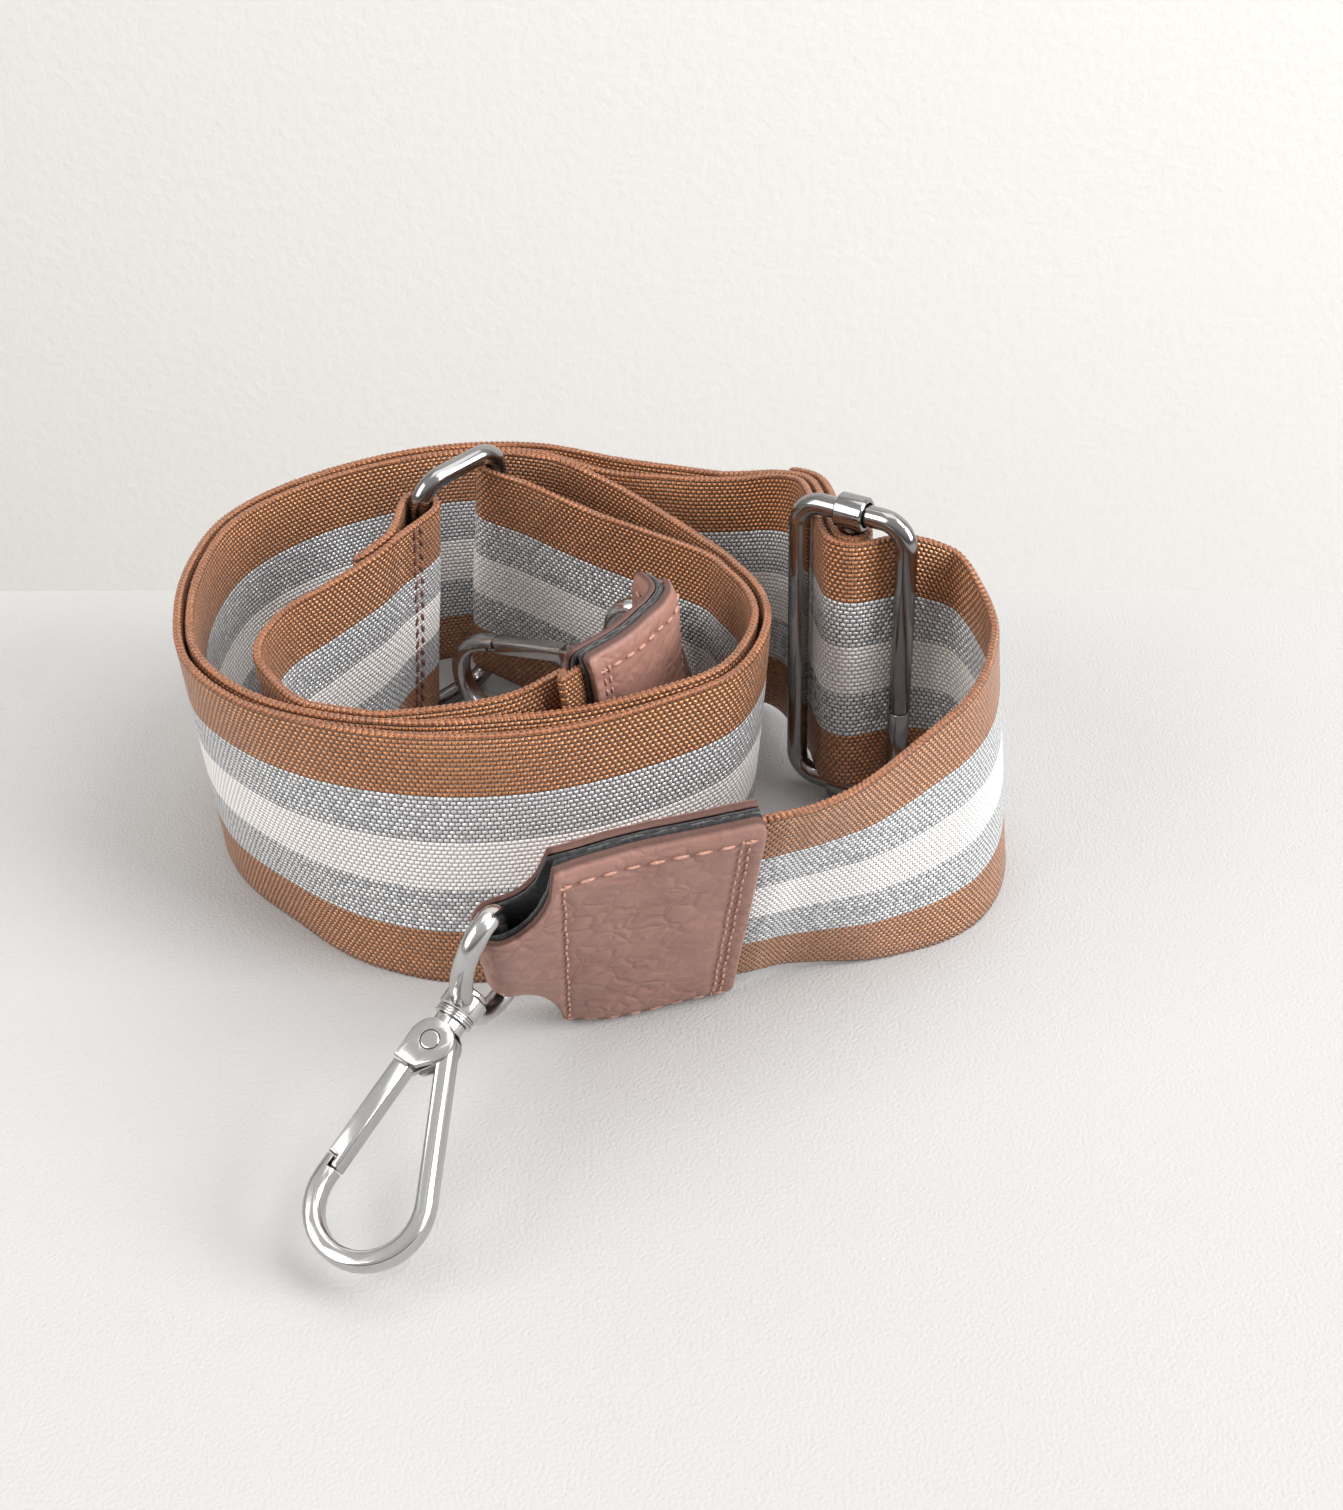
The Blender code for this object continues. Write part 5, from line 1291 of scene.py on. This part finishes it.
@dataclass
class LeatherTab:
    """A leather panel folded round a hook's eye, lined with felt and stitched round."""

    side: str
    lining_route: Band
    finishes: Finishes
    height: float = SIZES.tab_height
    length: float = SIZES.tab_length
    shoulder: float = SIZES.shoulder_length
    corner: float = SIZES.tab_corner
    neck: float = SIZES.neck_height
    leather: float = SIZES.leather_thickness
    lining: float = SIZES.lining_thickness
    inset: float = 0.00005
    top_margin: float = 0.0034
    low_margin: float = 0.0020
    end_margin: float = 0.0023
    row_gap: float = 0.0012
    columns: int = 56
    round_reach: float = 0.0007
    round_share: float = 0.32
    groove_width: float = 0.00050
    groove_depth: float = 0.00020
    puff: float = 0.00028
    puff_reach: float = 0.004
    flat_reach: float = 0.006
    lump: float = 0.00006
    pinch_reach: float = 0.0034
    edge_bulge: float = 0.00012
    raw_reach: float = 0.00035
    fray: float = 0.00013
    stitch_lift: float = 0.00016
    drawn: float = 0.00110
    eye_room: float = 0.0005

    def __post_init__(self) -> None:
        """Walk the leather's route outside the lining's."""
        between = self.lining / 2 + SIZES.leather_gap + self.leather / 2
        self.inner = Ribbon(self.lining_route)
        self.outer = Ribbon(self.lining_route.offset(between))
        self.total = self.inner.total

    def from_end(self, lengths: np.ndarray) -> np.ndarray:
        """Return how far lengths along the lining are from its nearer end."""
        return np.minimum(lengths, self.total - lengths)

    def half_width(self, lengths: np.ndarray) -> np.ndarray:
        """Return half the panel's height at lengths along the lining."""
        along = self.from_end(lengths)
        high, low, corner = self.height / 2, self.neck / 2, self.corner
        near = np.clip(corner - along, 0, corner)
        drop = corner - np.sqrt(corner ** 2 - near ** 2)
        share = np.clip(1 - (along - self.length) / (self.shoulder - self.eye_room), 0, 1)
        neck = low + (high - low) * (1 - np.sqrt(1 - share ** 2))
        return np.where(along <= self.length, high - drop, neck)

    def matching(self, lengths: np.ndarray) -> np.ndarray:
        """Return the lengths along the leather that lie over lengths along the lining."""
        return np.interp(lengths, self.inner.band.lengths, self.outer.band.lengths)

    def stitch_box(self) -> tuple[float, float, float, float]:
        """Return the stitched box: its top and foot across, its near and far ends along."""
        half = self.height / 2
        return (half - self.top_margin, self.low_margin - half,
                self.end_margin, self.length - self.end_margin / 2)

    def stitch_distance(self, lengths: np.ndarray, across: np.ndarray) -> np.ndarray:
        """Return how far places are from the nearest line of stitches."""
        along = self.from_end(lengths)
        top, low, near, far = self.stitch_box()
        past_side = np.maximum(np.maximum(low - across, across - top), 0)
        past_end = np.maximum(np.maximum(near - along, along - far), 0)
        rows = np.minimum(np.abs(across - top), np.abs(across - low))
        columns = np.minimum(np.minimum(np.abs(along - near), np.abs(along - far)),
                             np.abs(along - near - self.row_gap))
        return np.minimum(np.hypot(rows, past_end), np.hypot(columns, past_side))

    def relief(self, lengths: np.ndarray, across: np.ndarray) -> tuple[np.ndarray, np.ndarray]:
        """Return the outer face's height over its mid-plane, and how deep the stitch groove is."""
        along = self.from_end(lengths)
        edge = np.minimum(self.half_width(lengths) - np.abs(across), along + 0.0001)
        rounded = self.leather * self.round_share * np.clip(1 - edge / self.round_reach, 0, 1) ** 2
        sewn = self.stitch_distance(lengths, across)
        groove = np.exp(-(sewn / self.groove_width) ** 2)
        flat = np.clip((self.length + self.shoulder / 2 - along) / self.flat_reach, 0, 1)
        swell = self.puff * np.clip(sewn / self.puff_reach, 0, 1) ** 0.6 * flat
        lumps = self.lump * np.sin(lengths * 520 + across * 310) * np.sin(across * 470 - lengths * 190)
        lift = self.leather / 2 - rounded - self.groove_depth * groove + swell + lumps * flat
        return lift, groove

    def pinch(self, lengths: np.ndarray, across: np.ndarray) -> np.ndarray:
        """Return how far the upper and lower edges are drawn towards the other face by the seam."""
        edge = self.height / 2 - np.abs(across)
        flat = np.clip((self.length + self.shoulder - self.from_end(lengths)) / self.shoulder, 0, 1)
        return self.drawn * np.clip(1 - edge / self.pinch_reach, 0, 1) ** 1.3 * flat

    def stations(self, reach: float) -> np.ndarray:
        """Return lengths along the lining, close at both ends and at the folds."""
        picked = self.lining_route.lengths[self.lining_route.stations(reach, math.radians(6))]
        ends = np.array((0.0, 0.00012, 0.0003, 0.0006, 0.0010, 0.0015))
        inside = picked[(picked > ends[-1] * 1.2) & (picked < self.total - ends[-1] * 1.2)]
        return np.concatenate((ends, inside, (self.total - ends)[::-1]))

    def panel(self) -> bpy.types.Object:
        """Build the leather."""
        lengths = self.stations(0.0006)
        half = self.half_width(lengths)[:, None]
        share = np.sin(np.linspace(-math.pi / 2, math.pi / 2, self.columns))
        share = 0.55 * share + 0.45 * np.linspace(-1, 1, self.columns)
        spread = np.broadcast_to(lengths[:, None], (len(lengths), self.columns))
        across = half * share
        lift, groove = self.relief(spread, across)
        along = self.matching(spread)
        drawn = self.pinch(spread, across)
        outside = self.outer.points(along, across, lift - drawn)
        inside = self.outer.points(along, across, -self.leather / 2 - drawn)[:, ::-1]
        middles = [self.outer.points(along[:, :1], sign * (half + self.edge_bulge), -drawn[:, :1])
                   for sign in (1, -1)]
        grid = kept_above(np.concatenate((outside, middles[0], inside, middles[1]), axis=1), 0.00006)
        edge = np.minimum(half - np.abs(across), self.from_end(spread) + 0.0002)
        raw = np.concatenate((np.clip(1 - edge / self.raw_reach, 0, 1) ** 2, np.ones((len(lengths), 1)),
                              np.full(across.shape, 0.8), np.ones((len(lengths), 1))), axis=1)
        # Mask of the stitch groove on the outer face, which the leather uses to paint shade into the groove
        groove_shade = np.concatenate((groove, np.zeros((len(lengths), self.columns + 2))), axis=1)
        mesh = lofted(grid, self.side, {"raw": raw, "groove": groove_shade})
        piece = add_piece(mesh, self.side + "_tab_leather", "strap", self.finishes.leather)
        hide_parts(self.side + "_leather_tab")
        return piece

    def felt(self) -> bpy.types.Object:
        """Build the lining."""
        lengths = self.stations(0.0012)
        half = (self.half_width(lengths) - self.inset)[:, None]
        share = np.linspace(-1, 1, 25)
        across = half * share
        fray = self.fray * np.sin(lengths[:, None] * 2900 + 2.0 * np.sin(lengths[:, None] * 700))
        across = across + fray * np.abs(share) ** 8 * np.sign(share)
        spread = np.broadcast_to(lengths[:, None], across.shape)
        drawn = self.pinch(spread, across)
        faces = [self.inner.points(spread, across, sign * self.lining / 2 - drawn)
                 for sign in (1, -1)]
        grid = np.concatenate((faces[0], faces[1][:, ::-1]), axis=1)
        mesh = lofted(kept_above(grid, 0.00008), self.side)
        piece = add_piece(mesh, self.side + "_tab_felt", "strap", self.finishes.lining)
        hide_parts(self.side + "_tab_lining")
        return piece

    def run(self, threads: Threads, lengths: np.ndarray, across: np.ndarray) -> None:
        """Add a run of stitches over the leather's outer face."""
        lift = self.relief(lengths, across)[0] - self.pinch(lengths, across) + self.stitch_lift
        along = self.matching(lengths)
        threads.add(self.outer.points(along, across, lift), self.outer.at(along)[2])

    def stitches(self, group: bpy.types.NodeTree) -> bpy.types.Object:
        """Sew the rectangle of stitches on both faces of the fold."""
        rows = Threads(self.side + "_rows", TAB_ROW)
        columns = Threads(self.side + "_columns", TAB_COLUMN)
        top, low, near, far = self.stitch_box()
        for back in (False, True):
            along = np.linspace(near, far, 60)
            along = self.total - along if back else along
            for height in (top, low):
                waver = 0.00008 * np.sin(along * 640)
                self.run(rows, along, np.full(60, height) + waver)
            for end in (near, near + self.row_gap, far):
                across = np.linspace(low, top, 80)
                lengths = np.full(80, self.total - end if back else end)
                self.run(columns, lengths + 0.00010 * np.sin(across * 700), across)
        mesh = merged_meshes([threads.mesh(group, self.finishes.tan_thread)
                              for threads in (rows, columns)], self.side)
        return add_piece(mesh, self.side + "_tab_stitches", "strap",
                         self.finishes.tan_thread)


# Metal

@dataclass
class WireFrame:
    """A rectangular frame of round wire, bent from one length and butted on a long side."""

    name: str
    loop: WireLoop
    body: str
    joint_side: int
    joint_share: float
    shift: np.ndarray
    finishes: Finishes
    sides: int = 36
    turns: int = 20
    shaved: float = 0.00005
    ease: float = 0.00018
    smooth: float = math.radians(50)

    def path(self) -> np.ndarray:
        """Return the wire's mid-line in the frame's own plane."""
        half, tall, corner = self.loop.pitch / 2, self.loop.height, self.loop.corner
        gap, joint = SIZES.wire_joint_gap / 2, self.loop.height * self.joint_share
        quarter = np.radians(np.linspace(0, 90, self.turns))
        arcs = []
        for x, z, first in ((half - corner, corner, -90), (half - corner, tall - corner, 0),
                            (corner - half, tall - corner, 90), (corner - half, corner, 180)):
            angles = quarter + math.radians(first)
            arcs.append(np.column_stack((x + corner * np.cos(angles), z + corner * np.sin(angles))))
        if self.joint_side > 0:
            arcs = arcs[1:] + arcs[:1]
            start, end = (half, joint + gap), (half, joint - gap)
        else:
            arcs = arcs[3:] + arcs[:3]
            start, end = (-half, joint - gap), (-half, joint + gap)
        return np.vstack((start, *arcs, end))

    def wire(self) -> bpy.types.Object:
        """Sweep the wire, with its butted ends eased."""
        path = self.path()
        way = np.gradient(path, axis=0)
        way[0], way[-1] = path[1] - path[0], path[-1] - path[-2]
        way /= np.linalg.norm(way, axis=1)[:, None]
        first, last = path[0], path[-1]
        path = np.vstack((first, first + way[0] * self.ease, path[1:-1], last - way[-1] * self.ease,
                          last))
        way = np.vstack((way[0], way[0], way[1:-1], way[-1], way[-1]))
        radius = np.full(len(path), self.loop.wire / 2 - self.shaved)
        radius[[0, -1]] -= self.ease
        angles = np.linspace(0, 2 * math.pi, self.sides, endpoint=False)
        out = np.column_stack((way[:, 1], np.zeros(len(way)), -way[:, 0]))
        spokes = (np.cos(angles)[None, :, None] * out[:, None]
                  + np.sin(angles)[None, :, None] * np.array((0.0, 1.0, 0.0)))
        middle = np.column_stack((path[:, 0], np.zeros(len(path)), path[:, 1]))
        grid = middle[:, None] + spokes * radius[:, None, None]
        turn = np.array(self.loop.frame)
        grid = grid @ turn[:3, :3].T + turn[:3, 3] + self.shift
        mesh = lofted(grid, self.name)
        piece = add_piece(mesh, self.name + "_wire", self.body,
                          self.finishes.metals[Slot.GUNMETAL])
        mesh.set_sharp_from_angle(angle=self.smooth)
        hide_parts(self.name)
        return piece


@dataclass
class Hardware:
    """The cast and turned pieces, each an eased and smooth copy of its solid."""

    finishes: Finishes
    ease: float = 0.00028
    rounds: int = 3
    eased_from: float = math.radians(40)
    smooth: float = math.radians(38)
    weld: float = 0.000004
    flat: float = math.radians(1.5)

    def polished(self, node: str, body: str, slot: Slot) -> bpy.types.Object:
        """Copy a solid, ease its hard edges and polish it.

        Args:
            node: The solid's node.
            body: The body that the node rides on.
            slot: The record's material slot.

        Returns:
            The piece that stands for the node.
        """
        bm = bmesh.new()
        bm.from_mesh(frame["nodes"][node].data)
        bmesh.ops.remove_doubles(bm, verts=bm.verts, dist=self.weld)
        bmesh.ops.dissolve_limit(bm, angle_limit=self.flat, verts=bm.verts, edges=bm.edges)
        guide = linked(node + "_guide", mesh_from(bm, node + "_guide"))
        bevel = guide.modifiers.new("ease", "BEVEL")
        bevel.width, bevel.segments, bevel.limit_method = self.ease, self.rounds, "ANGLE"
        bevel.angle_limit, bevel.use_clamp_overlap = self.eased_from, True
        made = evaluated_mesh(guide)
        piece = add_piece(made, node + "_metal", body, self.finishes.metals[slot])
        made.set_sharp_from_angle(angle=self.smooth)
        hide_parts(node)
        return piece


# Studio

@dataclass
class Studio:
    """The pale table, the wall behind, the soft lights and the camera."""

    table_back: float = 0.104
    wall_back: float = 1.25
    camera_place: tuple[float, float, float] = (0.011285, -0.243814, 0.217)
    camera_pitch: float = math.radians(53)
    lens: float = 45.3
    sensor: float = 36.0
    slab_ease: float = 0.0015
    sky_strength: float = 0.78

    def slab(self, name: str, low: Sequence[float], high: Sequence[float],
             material: bpy.types.Material) -> bpy.types.Object:
        """Build a box with eased edges as a piece of the stage."""
        bm = bmesh.new()
        bmesh.ops.create_cube(bm, size=1.0)
        for vertex in bm.verts:
            vertex.co = [(high[i] + low[i]) / 2 + vertex.co[i] * (high[i] - low[i]) for i in range(3)]
        bmesh.ops.bevel(bm, geom=bm.edges, offset=self.slab_ease, segments=3, affect="EDGES")
        mesh = mesh_from(bm, name)
        mesh.materials.append(material)
        made = linked(name, mesh)
        return made

    def set_stage(self) -> None:
        """Lay the table, the floor beyond it and the wall."""
        cloth, plaster = TableFinish().material(), PlasterFinish().material()
        self.slab("table", (-1.4, -1.1, -0.05), (1.4, self.table_back, 0.0), cloth)
        self.slab("floor", (-3.0, -2.0, -0.90), (3.0, self.wall_back, -0.85), plaster)
        self.slab("wall", (-3.0, self.wall_back, -0.9), (3.0, self.wall_back + 0.1, 2.4), plaster)

    def light(self, name: str, place: Sequence[float], target: Sequence[float], size: float,
              power: float, colour: Colour) -> None:
        """Hang a square soft light that faces a target."""
        lamp = bpy.data.lights.new(name, "AREA")
        lamp.shape, lamp.size, lamp.energy, lamp.color = "SQUARE", size, power, colour
        made = linked(name, lamp)
        made.location = place
        made.rotation_euler = (Vector(target) - Vector(place)).to_track_quat("-Z", "Y").to_euler()

    def set_lights(self) -> None:
        """Light the set with a soft sky, two windows on the right and a weak fill."""
        world = bpy.data.worlds.new("soft room")
        bpy.context.scene.world = world
        world.use_nodes = True
        world.node_tree.nodes.clear()
        tree = Tree(world.node_tree)
        way = tree.node("ShaderNodeTexCoord").outputs["Generated"]
        parts = tree.node("ShaderNodeSeparateXYZ", {0: way}).outputs
        high = tree.step(parts[2], -0.05, 0.55)
        front = tree.step(parts[1], -0.95, -0.2)
        sky = tree.mix(high, (0.40, 0.39, 0.38), (1.0, 0.99, 0.975))
        sky = tree.mix(front, tree.mix(high, (0.16, 0.16, 0.16), (0.85, 0.84, 0.83)), sky)
        back = tree.node("ShaderNodeBackground", {"Color": sky, "Strength": self.sky_strength})
        tree.node("ShaderNodeOutputWorld", {"Surface": back.outputs[0]})
        self.light("key", (2.3, -0.7, 1.15), (0.0, 0.0, 0.02), 1.4, 92.0, (0.995, 0.998, 1.0))
        self.light("high window", (1.2, -0.45, 2.0), (-0.02, 0.02, 0.02), 0.9, 26.0, (0.99, 0.995, 1.0))
        self.light("left fill", (-1.3, -0.7, 0.9), (0.0, 0.0, 0.02), 1.1, 25.0, (1.0, 0.965, 0.93))
        self.light("wall wash", (0.2, 0.4, 1.5), (0.0, 1.25, 0.1), 1.2, 9.0, (1.0, 0.985, 0.965))

    def set_camera(self) -> None:
        """Stand the camera where the photograph was taken from."""
        camera = bpy.data.cameras.new("camera")
        camera.lens, camera.sensor_fit = self.lens, "VERTICAL"
        camera.sensor_width, camera.sensor_height = self.sensor, self.sensor
        camera.clip_start = 0.01
        made = linked("camera", camera)
        made.location = self.camera_place
        made.rotation_euler = (self.camera_pitch, 0.0, 0.0)
        bpy.context.scene.camera = made
        bpy.context.scene.view_settings.view_transform = "Standard"


# The strap

class Strap:
    """The whole strap, built sub-assembly by sub-assembly."""

    def __init__(self) -> None:
        """Find the routes and build the finishes and the thread tree."""
        self.layout = Layout()
        self.finishes = Finishes()
        self.threads = thread_tree()
        record = frame["record"]
        self.slots = {part["node"]: Slot(part["material_slot"]) for part in record["subparts"]}
        self.bodies = {node: body for body, nodes in record["behaviour"]["bodies"].items()
                       for node in nodes}

    def webbings(self) -> None:
        """Build both webbings with their edges and seams."""
        layout = self.layout
        long = Webbing("long_webbing", Ribbon(layout.long.shifted(layout.shift)), self.finishes)
        short = Webbing("short_webbing", Ribbon(layout.short.shifted(layout.shift)), self.finishes)
        bar = layout.ring_middle(-1) + layout.shift
        nearest = int(np.argmin(np.linalg.norm(short.ribbon.band.places - bar, axis=1)))
        turn, total = float(short.ribbon.band.lengths[nearest]), long.ribbon.total
        seams = [short.seam(self.threads, (turn + 0.0150, turn + 0.0168), 1, "_ring_seam"),
                 short.seam(self.threads, (0.0012, 0.0030), 1, "_tail_seam"),
                 long.seam(self.threads, (total - 0.0032, total - 0.0050), -1, "_bar_seam")]
        for webbing, sewn in ((long, seams[2:]), (short, seams[:2])):
            band, edge = webbing.band(), webbing.edges(self.threads)

    def tabs(self) -> None:
        """Build both leather tabs."""
        layout = self.layout
        for side, middle in (("front", layout.front_tab), ("rear", layout.rear_tab)):
            tab = LeatherTab(side, layout.panel(middle).shifted(layout.shift), self.finishes)
            leather, felt = tab.panel(), tab.felt()
            stitches = tab.stitches(self.threads)

    def metals(self) -> None:
        """Build the ring, the slider and both hooks."""
        layout, finishes = self.layout, self.finishes
        WireFrame("slider_frame", layout.slider, "slider", 1, SIZES.slider_joint_share,
                  layout.shift, finishes).wire()
        WireFrame("adjuster_ring", layout.ring, "ring", -1, SIZES.ring_joint_share,
                  layout.shift, finishes).wire()
        hardware = Hardware(finishes)
        swept = ("slider_frame", "adjuster_ring")
        for node, slot in self.slots.items():
            if slot in finishes.metals and node not in swept:
                hardware.polished(node, self.bodies[node], slot)


def main() -> None:
    """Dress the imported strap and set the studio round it."""
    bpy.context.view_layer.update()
    studio = Studio()
    studio.set_camera()
    strap = Strap()
    for label, build in (("webbings", strap.webbings), ("leather tabs", strap.tabs),
                         ("metals", strap.metals)):
        build()
        log.info("%s built", label)
    studio.set_stage()
    studio.set_lights()


if __name__ == "__main__":
    main()
